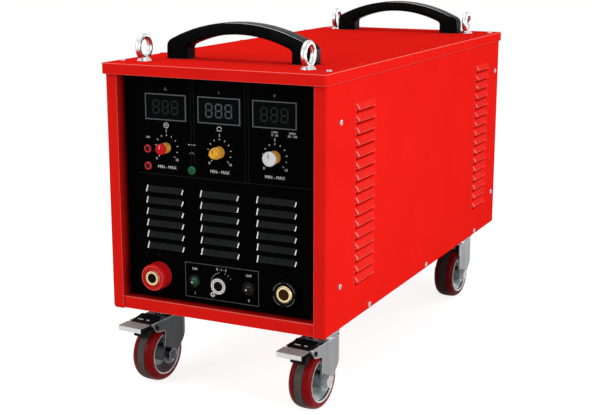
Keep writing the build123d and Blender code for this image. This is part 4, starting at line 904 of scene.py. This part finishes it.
@dataclass
class FrontPlate:
    """A black front plate: the ways in which its prints and rings are laid."""

    plane: float = field(init=False)

    def on(self, x: Any, z: Any, plane: Optional[float] = None) -> Array:
        """Points on the plate, or on a plane before it."""
        return Face.FRONT.on(x, z, self.plane if plane is None else plane)

    def bars(self, name: str, finish: Finish, paths: Array, width: Any, body: str = CABINET,
             ring: bool = False) -> None:
        """Prints lines along paths that face forwards."""
        lay(name, finish, carried(paths, Face.FRONT.out, width, INK, ring), body=body, ring=ring)

    def rings(self, name: str, finish: Finish, profile: Profile, centres: Array, body: str = CABINET,
              segments: int = RING) -> None:
        """Turns a profile about the way out of the plate, at every centre."""
        lay(name, finish, turned(profile, centres, Face.FRONT.out, segments), body=body, ring=True)

    def words(self, name: str, finish: Finish, labels: Sequence[Label]) -> None:
        """Prints words on the plate."""
        print_words(name, finish, labels, self.plane)

    def arc(self, x: float, z: float, radius: float, span: Span, plane: Optional[float] = None) -> Array:
        """Path along an arc, its span in degrees from right towards up, (1, points, 3)."""
        t = np.radians(np.linspace(*span))
        return self.on(x + radius * np.cos(t), z + radius * np.sin(t), plane)[None]

    def rays(self, x: float, z: float, reach: Pair, angles: Sequence[float]) -> Array:
        """Short radial paths about a point, (n, 2, 3)."""
        t = np.radians(angles)[:, None]
        return self.on(x + np.array(reach) * np.cos(t), z + np.array(reach) * np.sin(t))


@dataclass
class ControlPanel(FrontPlate):
    """Upper front plate: dials round the knobs, display segments, seams, signs and lamp rings."""

    dial: Span = (225.0, -45.0, 11)
    tick_reach: Pair = (19.5, 22.5)
    tick_width: float = 1.0
    figure_radius: float = 27.5
    figure_height: float = 4.2
    figure_ticks: tuple[int, ...] = (0, 5, 10)
    label_drop: float = 33.0
    label_height: float = 5.2
    units: tuple[str, ...] = ("A", "s", "V")
    unit_rise: float = 8.0
    ranges: tuple[tuple[str, float], ...] = (("LOW\n0 - 50", 0.0), ("HIGH\n50 - 100", 31.0))
    range_height: float = 3.4
    seam_places: tuple[float, ...] = (-53.0, -47.0, 47.0, 53.0)
    seam_width: float = 0.8
    seam_inset: Pair = (2.0, 12.0)  # below and above
    plate_seam_inset: Pair = (22.0, 12.0)  # left and right
    plate_seam_rise: float = 0.8
    digit_places: Triple = (-18.0, 0.0, 18.0)
    digit_width: float = 11.0
    digit_height: float = 21.0
    segment_width: float = 2.6
    segment_shares: tuple[float, ...] = (0.2, 1.0, 1.0, 0.2)  # of the width, at its stations
    segment_gap: float = 0.7
    sign_rise: float = 37.0
    sign_radius: float = 4.2
    sign_line: float = 1.0
    sign_steps: int = 36
    arch: Span = (0.0, 180.0, 19)
    pointer_lines: tuple[tuple[str, str, Finish], ...] = (
        ("current_knob", "current_knob_cap", WHITE_INK), ("time_knob", "time_knob", FAINT_INK),
        ("voltage_knob", "voltage_knob_cap", FAINT_INK))
    pointer_span: Pair = (0.1, 0.68)  # shares of the knob's radius
    pointer_width: float = 1.0
    lamp_bezel: float = 7.0
    lamp_bezel_height: float = 2.0
    lamp_pitch: float = 29.0
    green_lamp_step: float = 48.0
    lamp_word_rise: float = 19.0
    lamp_dash_rise: float = 42.0
    lamp_dashes: tuple[Pair, ...] = ((-7.0, -3.0), (-1.0, 1.0), (3.0, 7.0))
    lamp_arc: Span = (30.0, 150.0, 13)
    lamp_arc_rise: float = 24.0
    lamp_arc_radius: float = 5.0
    ring_profile: Profile = (
        (0.0, 3.4), (0.9, 3.9), (1.2, 5.2), (0.9, 6.2), (0.0, 6.6), (-1.9, 6.6), (-1.9, 3.4))
    ring_segments: int = 48

    def __post_init__(self) -> None:
        """Reads the plate's place and the knobs' places from the solids."""
        self.low, self.high = corners("control_panel")
        self.plane = self.low[1]
        self.knobs = [pivot(name + "_turn") for name in ("current", "time", "voltage")]

    def build(self) -> None:
        """Builds every printed and applied piece of the plate."""
        self.dials()
        self.labels()
        self.displays()
        self.seams()
        self.signs()
        self.lamps()
        self.pointers()

    def dials(self) -> None:
        """Tick marks and figures round each knob, clockwise from the lower left."""
        angles = np.linspace(*self.dial)
        ticks = [self.rays(spot[0], spot[2], self.tick_reach, angles) for spot in self.knobs]
        self.bars("dial_ticks", WHITE_INK, np.concatenate(ticks), self.tick_width)
        figures = []
        for spot in self.knobs:
            for step in self.figure_ticks:
                t = radians(angles[step])
                figures.append((str(step), spot[0] + self.figure_radius * cos(t),
                                spot[2] + self.figure_radius * sin(t), self.figure_height))
        self.words("dial_figures", WHITE_INK, figures)

    def labels(self) -> None:
        """Plain words under the knobs, two ranges over the third, and the unit over each meter."""
        words = [("MIN - MAX", spot[0], spot[2] - self.label_drop, self.label_height) for spot in self.knobs]
        third = self.knobs[2]
        words += [(text, third[0] + x, third[2] + self.sign_rise, self.range_height) for text, x in self.ranges]
        self.words("knob_words", WHITE_INK, words)
        top = corners("meter_housings")[1][2] + self.unit_rise
        units = [(text, spot[0], top, self.label_height) for text, spot in zip(self.units, self.knobs)]
        self.words("meter_units", GREY_INK, units)

    def displays(self) -> None:
        """Unlit seven-segment digits on each meter window, those in the middle a little paler.

        Each segment is a bar whose ends narrow to points; its stations are the start, the two
        shoulders half a width in, and the end.
        """
        low, high = corners("meter_windows")
        half, tall = self.digit_width / 2, self.digit_height / 2
        levels = np.array((tall, 0.0, -tall))
        flat = np.stack((np.full(3, -half), levels, np.full(3, half), levels), axis=1)
        posts = np.array([(x, top, x, top - tall) for x in (-half, half) for top in (tall, 0.0)])
        bars = np.concatenate((flat, posts))
        start, end = bars[:, :2], bars[:, 2:]
        gap = unit(end - start) * self.segment_gap
        tip = gap + unit(end - start) * self.segment_width / 2
        stations = np.stack((start + gap, start + tip, end - tip, end - gap), axis=1)
        widths = np.array(self.segment_shares) * self.segment_width
        for name, spots, finish in (("outer", self.knobs[::2], DIM_SEGMENT),
                                    ("middle", self.knobs[1:2], PALE_SEGMENT)):
            digits = np.add.outer([spot[0] for spot in spots], self.digit_places).ravel()
            x = digits[:, None, None] + stations[..., 0]
            z = (low[2] + high[2]) / 2 + stations[..., 1]
            paths = self.on(x, z, low[1]).reshape(-1, 4, 3)
            self.bars(name + "_display_segments", finish, paths, widths)

    def seams(self) -> None:
        """Faint lines between the three columns of the plate and along its lower edge."""
        below, above = self.seam_inset
        edges = np.array((self.low[2] + below, self.high[2] - above))
        paths = self.on(np.array(self.seam_places)[:, None], edges)
        self.bars("column_seams", FAINT_INK, paths, self.seam_width)
        left, right = self.plate_seam_inset
        line = self.on((self.low[0] + left, self.high[0] - right), self.low[2] + self.plate_seam_rise)
        self.bars("plate_seam", FAINT_INK, line[None], self.sign_line)

    def signs(self) -> None:
        """Plain signs over the first two knobs: a ring with a dot, and an arch on a bar."""
        first, second = self.knobs[0], self.knobs[1]
        z = first[2] + self.sign_rise
        t = np.linspace(0, 2 * np.pi, self.sign_steps, endpoint=False)
        radius = np.array((self.sign_radius, self.sign_line))[:, None]
        rings = self.on(first[0] + radius * np.cos(t), z + radius * np.sin(t))
        self.bars("ring_sign", WHITE_INK, rings, self.sign_line, ring=True)
        crown = self.arc(second[0], z, self.sign_radius, self.arch)
        self.bars("arch_sign", WHITE_INK, crown, self.sign_line)
        foot = self.on(second[0] + np.array((self.sign_radius, -self.sign_radius)), z - self.sign_radius / 2)
        self.bars("arch_sign_foot", WHITE_INK, foot[None], self.sign_line)

    def lamps(self) -> None:
        """Raised coloured rings round the lenses of the small lamps, with a word, dashes and an arc over them."""
        x = corners("red_lamps")[0][0] + self.lamp_bezel
        z = corners("red_lamps")[1][2] - self.lamp_bezel
        green = (self.knobs[0][0] + self.green_lamp_step, corners("green_lamps")[1][2] - self.lamp_bezel)
        self.words("lamp_word", WHITE_INK, [("ON", x, z + self.lamp_word_rise, self.range_height)])
        dashes = self.on(green[0] + np.array(self.lamp_dashes), green[1] + self.lamp_dash_rise)
        self.bars("lamp_dashes", WHITE_INK, dashes, self.sign_line)
        bow = self.arc(green[0], green[1] + self.lamp_arc_rise, self.lamp_arc_radius, self.lamp_arc)
        self.bars("lamp_arc", GREY_INK, bow, self.sign_line)
        # The rings' faint glow is painted light: the lamps are off.
        for name, spots, finish in (("red_lamp_rings", ((x, z), (x, z - self.lamp_pitch)), RED_RING),
                                    ("green_lamp_ring", (green,), GREEN_RING)):
            centres = self.on(*np.transpose(spots), self.plane - self.lamp_bezel_height)
            self.rings(name, finish, self.ring_profile, centres, segments=self.ring_segments)

    def pointers(self) -> None:
        """Line from the middle of each knob's face towards its mark, straight up at rest."""
        for spot, (knob, node, finish) in zip(self.knobs, self.pointer_lines):
            low, high = corners(node)
            z = spot[2] + (high[0] - low[0]) / 2 * np.array(self.pointer_span)
            self.bars(knob + "_pointer", finish, self.on(spot[0], z, low[1])[None], self.pointer_width, body=knob)


@dataclass
class OutputPanel(FrontPlate):
    """Lower front plate: outlined box, selector scale, lamp bezels, painted shade in the sockets, and painted
    highlights on the socket rims, lenses and louvres.
    """

    box_half: float = 69.0
    box_rise: Pair = (-28.0, 31.0)
    line: float = 1.1
    scale_radius: float = 20.0
    scale: Span = (172.0, 100.0, 24)
    tick_reach: Pair = (19.0, 22.5)
    tick_angles: tuple[float, ...] = (70.0, 52.0, 34.0)
    lamp_place: float = 51.0
    word_rise: float = 21.0
    word_height: float = 4.2
    bezel_profile: Profile = ((-1.9, 8.0), (0.6, 8.0), (0.9, 8.6), (0.6, 10.4), (-0.6, 10.9), (-1.9, 10.9))
    lens_front: float = 2.0
    rim_line: float = 0.7
    rim_inset: float = 2.4
    rim_arcs: tuple[Span, ...] = ((105.0, 165.0, 24), (15.0, 75.0, 24), (195.0, 250.0, 24), (285.0, 345.0, 24))
    nose_bevel: float = 3.2
    sign_rise: float = 34.0
    sign_height: float = 6.0
    contact_hollows: Pair = (8.3, 9.6)
    contact_grooves: Pair = (10.3, 12.4)
    contact_proud: float = 0.8
    collar: Pair = (12.0, 14.3)
    hollow_depth: float = 0.6
    selector_hollow: float = 8.0
    selector_rings: tuple[tuple[str, Pair], ...] = (("inner", (8.4, 10.6)), ("outer", (11.5, 13.4)))
    lug_reach: float = 21.0
    lug_angle: float = 232.0
    lug_rise: float = 7.5
    lug_ring: Pair = (2.0, 3.9)
    glint_radius: float = 1.5
    glint_place: Pair = (-2.6, -1.6)
    sheen: Span = (25.0, 80.0, 16)
    sheen_radius: float = 5.2
    sheen_rise: float = 1.5
    louvre_columns: Triple = (-104.0, 0.0, 104.0)
    louvre_rows: int = 6
    louvre_pitch: float = 19.5
    louvre_length: float = 72.0
    louvre_height: float = 10.5
    louvre_depth: float = 6.0
    louvre_taper: float = 0.8
    louvre_drop: float = 18.4
    edge_width: float = 2.0
    face_span: Pair = (0.06, 0.98)
    left_end: Pair = (0.03, 0.97)
    right_end: Pair = (0.28, 0.97)

    def __post_init__(self) -> None:
        """Reads the plate's face and the selector's place from the solids, and places the status lamps."""
        self.plane = corners("control_panel")[0][1]
        self.middle = pivot("mode_turn")
        self.status_lamps = np.array((-self.lamp_place, self.lamp_place))

    def build(self) -> None:
        """Builds the printed and applied pieces of the plate."""
        self.prints()
        self.bezels()
        self.socket_rims()
        self.hollows()
        self.selector_face()
        self.glints()
        self.louvres()

    def prints(self) -> None:
        """Outlined box, scale of the selector and plain words."""
        x, _, z = self.middle
        half, (low, high) = self.box_half, self.box_rise
        box = self.on((-half, half, half, -half), z + np.array((low, low, high, high)))
        self.bars("box_outline", DULL_INK, box[None], self.line, ring=True)
        self.bars("selector_arc", GREY_INK, self.arc(x, z, self.scale_radius, self.scale), self.line)
        self.bars("selector_ticks", GREY_INK, self.rays(x, z, self.tick_reach, self.tick_angles), self.line)
        left, right = self.status_lamps
        rise, height = self.word_rise, self.word_height
        places = (("ON", left, rise), ("OFF", right, rise), ("0 - 1 - 2", x, rise + height), ("1", left, -rise),
                  ("0", right, -rise))
        self.words("switch_words", WHITE_INK, [(text, place, z + up, height) for text, place, up in places])

    def bezels(self) -> None:
        """Black bezels round the two status lamps."""
        centres = self.on(self.status_lamps, self.middle[2], self.plane - self.lens_front)
        self.rings("status_lamp_bezels", BLACK_NYLON, self.bezel_profile, centres)

    def nose(self, node: str) -> tuple[Array, float]:
        """Middle of a socket's front, and the radius of its body."""
        low, high = corners(node)
        return self.on((low[0] + high[0]) / 2, (low[2] + high[2]) / 2, low[1]), (high[0] - low[0]) / 2

    def line_round(self, radius: float) -> Profile:
        """Profile of a fine line round a turned face."""
        return flat_ring(radius - self.rim_line / 2, radius + self.rim_line / 2)

    def socket_rims(self) -> None:
        """Painted highlights: a broken ring round the nose of the black socket and a line round the red one; and the
        sockets' signs.
        """
        black, radius = self.nose("negative_socket")
        arcs = [self.arc(black[0], black[2], radius - self.rim_inset, span, black[1]) for span in self.rim_arcs]
        self.bars("black_socket_rim_highlight", GREY_INK, np.concatenate(arcs), self.rim_line)
        red, radius = self.nose("positive_socket")
        self.rings("red_socket_rim_highlight", HIGHLIGHT_RED, self.line_round(radius - self.nose_bevel), red[None])
        signs = (("+", red), ("-", black))
        self.words("socket_signs", FAINT_INK, [
            (sign, spot[0], spot[2] + self.sign_rise, self.sign_height) for sign, spot in signs])

    def hollows(self) -> None:
        """Painted shade in the socket bores, the fine grooves round them, and a ring of painted shade round the red
        socket's contact.
        """
        faces = [self.nose(node)[0][None] + self.contact_proud * Face.FRONT.out
                 for node in ("positive_socket", "negative_socket")]
        bores = zip(("red", "black"), faces, self.contact_hollows, self.contact_grooves, (DARK_HOLLOW, BROWN_HOLLOW))
        for label, face, hollow, groove, finish in bores:
            self.rings(label + "_socket_painted_shade", finish, disc(SUNK, hollow), face)
            self.rings(label + "_contact_groove", DARK_HOLLOW, self.line_round(groove), face)
        self.rings("red_contact_painted_shade", SHADED_RED, flat_ring(*self.collar), faces[0])

    def selector_face(self) -> None:
        """Hollow and nickelled rings on the selector's face, and the ring on its lug."""
        turn = partial(self.rings, body="mode_selector")
        x, _, z = self.middle
        face = self.on([x], z, corners("mode_selector")[0][1])
        turn("selector_hollow", DARK_HOLLOW, disc(-self.hollow_depth, self.selector_hollow), face)
        for label, span in self.selector_rings:
            turn(f"selector_{label}_ring", NICKEL, flat_ring(*span), face)
        t = radians(self.lug_angle)
        lug = self.on([x + self.lug_reach * cos(t)], z + self.lug_reach * sin(t), self.plane - self.lug_rise)
        turn("selector_lug_ring", NICKEL, flat_ring(*self.lug_ring), lug)

    def glints(self) -> None:
        """Painted highlights: a small bright spot and an arc on the lens of each status lamp."""
        z = self.middle[2]
        front = corners("green_lamps")[0][1]
        spots = self.on(self.status_lamps + self.glint_place[0], z + self.glint_place[1], front)
        self.rings("lens_glints", WHITE_INK, disc(SUNK, self.glint_radius), spots)
        arcs = [self.arc(x, z, self.sheen_radius, self.sheen, front + self.sheen_rise) for x in self.status_lamps]
        self.bars("lens_sheen", GREY_INK, np.concatenate(arcs), self.rim_line)

    def louvres(self) -> None:
        """Painted light on the louvres: paler faces as lit from above, and painted highlights at their ends."""
        top = corners("louvre_panel")[1][2] - self.louvre_drop
        hoods = LouvreField(Face.FRONT, self.plane, top, self.louvre_columns, self.louvre_rows, self.louvre_pitch,
                            self.louvre_length, self.louvre_height, self.louvre_depth, self.louvre_taper)
        lay("louvre_lit_faces", LIT_BLACK, hoods.faces(self.face_span, self.edge_width))
        lay("louvre_end_highlights", BARE_STEEL_AND_HIGHLIGHT, hoods.ends(self.left_end, -1.0, self.edge_width),
            hoods.ends(self.right_end, 1.0, self.edge_width))


@dataclass
class RearPanel:
    """Rear plate: figures beside the mains breaker."""

    figure_height: float = 6.0
    figure_gap: float = 8.0

    def build(self) -> None:
        """Prints the two positions of the breaker, on above and off below."""
        low, high = corners("breaker_lever")
        x, nose = (low[0] + high[0]) / 2, pivot("breaker_tip")[2]
        low, high = corners("power_breaker")
        reach = (high[2] - low[2]) / 2 + self.figure_gap
        words = [("1  ON", x, nose + reach, self.figure_height), ("0  OFF", x, nose - reach, self.figure_height)]
        print_words("breaker_words", WHITE_INK, words, corners("rear_panel")[1][1], Face.REAR)


@dataclass
class CabinetScrews:
    """Domed screws: cross recesses in the bare heads, and a coat on the lid's middle ones."""

    head: float = 2.6
    head_radius: float = 4.6
    head_segments: int = 32
    dome: float = 1.3
    dome_steps: int = 7
    coat: float = 0.15
    recess_length: float = 4.4
    recess_width: float = 1.0
    recess_turn: Triple = (0.3, 1.0, 0.2)
    post_rows: Pair = (52.0, 862.0)
    post_levels: Pair = (73.0, 338.0)
    tray_rows: Triple = (176.0, 456.0, 752.0)
    tray_level: float = 9.0
    bare_lid_rows: Pair = (35.0, 855.0)
    coated_lid_rows: Triple = (156.0, 445.0, 734.0)
    lid_inset: float = 12.0

    def __post_init__(self) -> None:
        """Reads the front, the base and the outermost heads from the solids."""
        self.front = corners("right_side_panel")[0][1]
        self.base = corners("base_tray")[0][2]
        self.edge, _, self.crown = corners("cabinet_screws")[1]

    def build(self) -> None:
        """Builds the recesses and the coats."""
        self.recesses()
        self.coats()

    def lid_spots(self, rows: Sequence[float], level: float) -> Array:
        """Points on the lid's screws at both sides, (n, 3)."""
        x = self.edge - self.head - self.lid_inset
        return np.array([(side * x, self.front + y, level) for side in (-1.0, 1.0) for y in rows])

    def recesses(self) -> None:
        """Lays two crossed bars on every bare head, seen as the dark recess of a cross-head screw."""
        rows = [(y, z) for y in self.post_rows for z in self.post_levels]
        rows += [(y, self.tray_level) for y in self.tray_rows]
        y, z = np.transpose(rows)
        heads = [(side.out, side.on(self.front + y, self.base + z, side.out[0] * self.edge)) for side in SIDES]
        heads.append((UP, self.lid_spots(self.bare_lid_rows, self.crown)))
        arms = np.array((-1.0, 1.0))[:, None] * self.recess_length / 2
        bars = []
        for out, middles in heads:
            first = unit(np.cross(out, self.recess_turn))
            for along in (first, np.cross(out, first)):
                bars.append(carried(middles[:, None] + arms * along, out, self.recess_width, SUNK))
        lay("screw_recesses", BLACK_PAINT, *bars)

    def coats(self) -> None:
        """Coats the lid's middle screws with its paint: the head's outline, a coat's thickness further out.

        The dome is a quarter circle from the wall to the top: along = rise + r * sin(t), radius = flat + r * cos(t).
        """
        t = np.linspace(0, np.pi / 2, self.dome_steps)
        reach = self.dome + self.coat
        along = self.head - self.dome + reach * np.sin(t)
        radius = self.head_radius - self.dome + reach * np.cos(t)
        profile = [(-SUNK, 0.0), (-SUNK, radius[0]), *zip(along, radius), (along[-1], 0.0)]
        seats = self.lid_spots(self.coated_lid_rows, self.crown - self.head)
        lay("coated_screw_heads", RED_PAINT, turned(profile, seats, UP, self.head_segments), ring=True)


@dataclass
class Caster:
    """One swivel caster: tyre with its running band, bright rim and, at the front, the pedal's plates."""

    name: str
    has_brake: bool
    tyre_finish: Finish
    band_finish: Finish
    tyre_radius: float = 50.0
    tyre_half: float = 20.0
    bead: float = 1.0
    shoulder_depth: float = 9.0
    shoulder_step: float = 0.3
    shoulder_steps: int = 9
    groove: float = 1.2
    groove_depth: float = 1.4
    band_half: float = 7.2
    band_edge: float = 0.5
    band_root: float = 1.6
    ring_profile: Profile = ((-0.4, -1.9), (1.4, -1.7), (2.0, -0.9), (2.1, 0.0), (1.2, 0.4), (-0.4, 0.2))
    grip_back: Pair = (15.0, 119.83)  # ahead of the axle, and above the floor
    grip_front: Pair = (48.0, 114.17)
    grip_width: float = 40.0
    grip_height: float = 0.6
    mark_ahead: float = 0.62  # share of the grip's run
    marks: tuple[Pair, ...] = ((-13.0, -2.0), (5.0, 11.0))
    mark_width: float = 2.4
    lip_ahead: float = 76.13
    lip_level: float = 111.0
    lip_half: float = 23.0
    lip_height: float = 7.6
    tread_span: Pair = (49.6, 75.4)
    tread_level: float = 115.2
    tread_depth: float = 1.0
    tread_rise: float = 0.8
    tread_ribs: int = 7
    rib_steps: int = 12

    def __post_init__(self) -> None:
        """Reads the wheel's middle and axis from its joint and the rim from its solid."""
        roll = self.name + "_roll"
        self.wheel, self.pedal = self.name + "_wheel", self.name + "_pedal"
        self.centre = pivot(roll)
        self.across = unit(np.array(joint_row(roll)["axis"], float))
        self.ahead = np.cross(self.across, UP)
        low, high = corners(self.name + "_hub")
        self.rim = (high[2] - low[2]) / 2

    def build(self) -> None:
        """Builds the pieces that ride on the wheel and on the pedal."""
        self.tyre()
        self.rim_rings()
        if self.has_brake:
            self.grip()
            self.tread()

    def round_wheel(self, part: str, finish: Finish, profile: Profile, slot: str) -> bpy.types.Object:
        """Turns a profile about the axle, as a piece of the wheel."""
        return lay(f"{self.name}_{part}", finish, turned(profile, self.centre[None], self.across),
                   body=self.wheel, ring=True, slot=slot)

    def tyre(self) -> None:
        """Tyre whose shoulders are quarter ellipses from its walls to its grooves, and its running band."""
        t = np.linspace(0, np.pi / 2, self.shoulder_steps)
        reach = self.tyre_half - self.band_half - self.groove
        along = self.tyre_half - reach * (1 - np.cos(t))
        radius = self.tyre_radius - self.shoulder_depth + (self.shoulder_depth - self.shoulder_step) * np.sin(t)
        right = [(self.tyre_half - self.bead, self.rim), (self.tyre_half, self.rim + self.bead),
                 *zip(along, radius), (self.band_half + self.groove / 2, self.tyre_radius - self.groove_depth)]
        profile = right + [(-x, r) for x, r in reversed(right)]
        tyre = self.round_wheel("tyre_body", self.tyre_finish, profile, "wheel_tyre")
        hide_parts(self.name + "_tyre")
        half, top, edge, root = self.band_half, self.tyre_radius, self.band_edge, self.band_root
        band = ((half, top - root), (half, top - edge), (half - edge, top), (edge - half, top),
                (-half, top - edge), (-half, top - root))
        self.round_wheel("running_band", self.band_finish, band, "wheel_tyre")

    def rim_rings(self) -> None:
        """Bright turned edge on each side of the hub, inside the tyre's bead."""
        low = self.tyre_half - 2 * self.bead
        for side, label in ((-1, "left"), (1, "right")):
            profile = [(side * (low + x), self.rim + r) for x, r in self.ring_profile]
            self.round_wheel(label + "_rim_ring", BARE_STEEL_AND_HIGHLIGHT, profile, "wheel_metal")

    def at(self, across: Any, ahead: Any, level: Any) -> Array:
        """Points beside and ahead of the axle at a level above the floor, in the caster's own directions."""
        across, ahead, level = (part[..., None] for part in np.broadcast_arrays(across, ahead, level))
        return self.centre * (1.0, 1.0, 0.0) + across * self.across + ahead * self.ahead + level * UP

    def grip(self) -> None:
        """Black grip plate on the slope of the pedal, and two marks on it."""
        ends = np.array((self.grip_back, self.grip_front))
        run = ends[1] - ends[0]
        out = unit(-run[1] * self.ahead + run[0] * UP)
        path = self.at(0.0, *ends.T)
        plate = carried(path[None], out, self.grip_width, self.grip_height)
        lay(self.pedal + "_grip", BLACK_RUBBER, plate, body=self.pedal)
        marks = self.at(self.marks, *(ends[0] + self.mark_ahead * run)) + self.grip_height * out
        lay(self.name + "_grip_marks", WHITE_INK, carried(marks, out, self.mark_width, INK), body=self.pedal)

    def tread(self) -> None:
        """Bright face of the pedal's lip, and the ribbed tread behind it.

        The tread's top at a distance h along it stands rise * |sin(pi * ribs * h / length)| above its level.
        """
        half = self.lip_half
        edge = self.at((-half, half), self.lip_ahead, self.lip_level)
        lip = carried(edge[None], self.ahead, self.lip_height, INK)
        lay(self.pedal + "_lip", GROUND_LIP, lip, body=self.pedal)
        share = np.linspace(0, 1, self.rib_steps * self.tread_ribs + 1)
        h = self.tread_span[0] + (self.tread_span[1] - self.tread_span[0]) * share
        top = self.tread_level + self.tread_rise * np.abs(np.sin(np.pi * self.tread_ribs * share))
        low = self.tread_level - self.tread_depth
        rows = [self.at(side, h, level) for side, level in ((-half, low), (-half, top), (half, top), (half, low))]
        lay(self.pedal + "_tread", PEDAL_TREAD, np.stack(rows, axis=1)[None], body=self.pedal)


@dataclass(frozen=True)
class Softbox:
    """A square soft lamp that faces the middle of the machine."""

    name: str
    place: Triple
    size: float
    watts: float

    def build(self) -> None:
        """Adds the lamp to the scene."""
        data = bpy.data.lights.new(self.name, "AREA")
        data.size = self.size * MM
        data.energy = self.watts
        made = bpy.data.objects.new(self.name, data)
        made.location = np.array(self.place) * MM
        low, high = CAD_BOX
        made.rotation_euler = ((low + high) / 2 - made.location).to_track_quat("-Z", "Y").to_euler()
        bpy.context.scene.collection.objects.link(made)


@dataclass
class Studio:
    """White studio: floor, soft lamps and the camera of the photograph."""

    camera_place: Triple = (940.4, -1612.6, 754.7)  # from the middle of the cabinet's front, on the floor
    camera_pitch: float = 12.889
    camera_yaw: float = 25.949
    lens_mm: float = 71.22
    sensor_mm: float = 36.0
    white: str = "#ffffff"
    floor_half: float = 20000.0
    floor_paint: str = "#aaaaaa"
    floor_glow: float = 0.83
    world_light: float = 0.42
    lamps: tuple[Softbox, ...] = (
        Softbox("key_softbox", (2100.0, -700.0, 350.0), 1500.0, 36.0),
        Softbox("fill_softbox", (-1500.0, -2800.0, 1500.0), 1800.0, 34.0),
        Softbox("top_softbox", (-600.0, -200.0, 3000.0), 2200.0, 29.0),
        Softbox("rim_softbox", (1500.0, 2300.0, 700.0), 700.0, 18.0))

    def build(self) -> None:
        """Builds the camera, the floor, the world and the lamps."""
        self.camera()
        self.floor()
        self.world()
        for lamp in self.lamps:
            lamp.build()

    def camera(self) -> None:
        """Camera that looks along the photograph's line of sight."""
        data = bpy.data.cameras.new("camera")
        data.lens = self.lens_mm
        data.sensor_width = self.sensor_mm
        made = bpy.data.objects.new("camera", data)
        front = np.array((0.0, corners("right_side_panel")[0][1], 0.0))
        made.location = (front + self.camera_place) * MM
        made.rotation_euler = (radians(90 - self.camera_pitch), 0.0, radians(self.camera_yaw))
        bpy.context.scene.collection.objects.link(made)
        bpy.context.scene.camera = made

    def floor(self) -> None:
        """Pale floor that takes the machine's shadow."""
        reach = (-self.floor_half, self.floor_half)
        points = np.stack((*np.meshgrid(reach, reach, indexing="ij"), np.zeros((2, 2))), axis=-1)
        made = surface("floor", points[None], False, False)
        paint = bpy.data.materials.new("matt_white_floor")
        tree = bare_tree(paint)
        matt = add_node(tree, "ShaderNodeBsdfDiffuse", {"Color": linear(self.floor_paint)})
        light = add_node(tree, "ShaderNodeEmission", {
            "Color": linear(self.white), "Strength": self.seen(tree, self.floor_glow)})
        both = add_node(tree, "ShaderNodeAddShader", {0: matt.outputs[0], 1: light.outputs[0]})
        add_node(tree, "ShaderNodeOutputMaterial", {"Surface": both.outputs[0]})
        made.data.materials.append(paint)

    def seen(self, tree: Tree, strength: float) -> Socket:
        """Gives a light its strength for rays from the camera, mirrors and glass, and none for others.

        Args:
            tree: node tree of the light.
            strength: its strength.

        Returns:
            The strength's socket.
        """
        path = add_node(tree, "ShaderNodeLightPath").outputs
        mirror = combined(tree, "ADD", path["Is Camera Ray"], path["Is Glossy Ray"])
        clear = combined(tree, "ADD", mirror, path["Is Transmission Ray"], clamp=True)
        return combined(tree, "MULTIPLY", clear, strength)

    def world(self) -> None:
        """White surroundings that look white and light the machine softly."""
        world = bpy.data.worlds.new("white_studio")
        bpy.context.scene.world = world
        tree = bare_tree(world)
        strength = combined(tree, "ADD", self.seen(tree, 1 - self.world_light), self.world_light)
        sky = add_node(tree, "ShaderNodeBackground", {"Color": linear(self.white), "Strength": strength})
        add_node(tree, "ShaderNodeOutputWorld", {"Surface": sky.outputs[0]})


def main() -> None:
    """Dresses the solids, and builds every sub-assembly and the studio."""
    logging.basicConfig(level=logging.INFO, format="%(name)s %(message)s")
    bpy.context.scene.view_settings.view_transform = "Standard"
    Solids().dress()
    for part in (ControlPanel(), OutputPanel(), SidePanels(), Recess(), Handles(), RearPanel(), CabinetScrews()):
        part.build()
    for side in ("left", "right"):
        Caster("front_" + side, True, RED_TYRE, GREY_TREAD).build()
        # The rear casters take darker tyres and bands as painted shade, for the shade under the cabinet.
        Caster("rear_" + side, False, SHADED_TYRE, SHADED_TREAD).build()
    Studio().build()


if __name__ == "__main__":
    main()
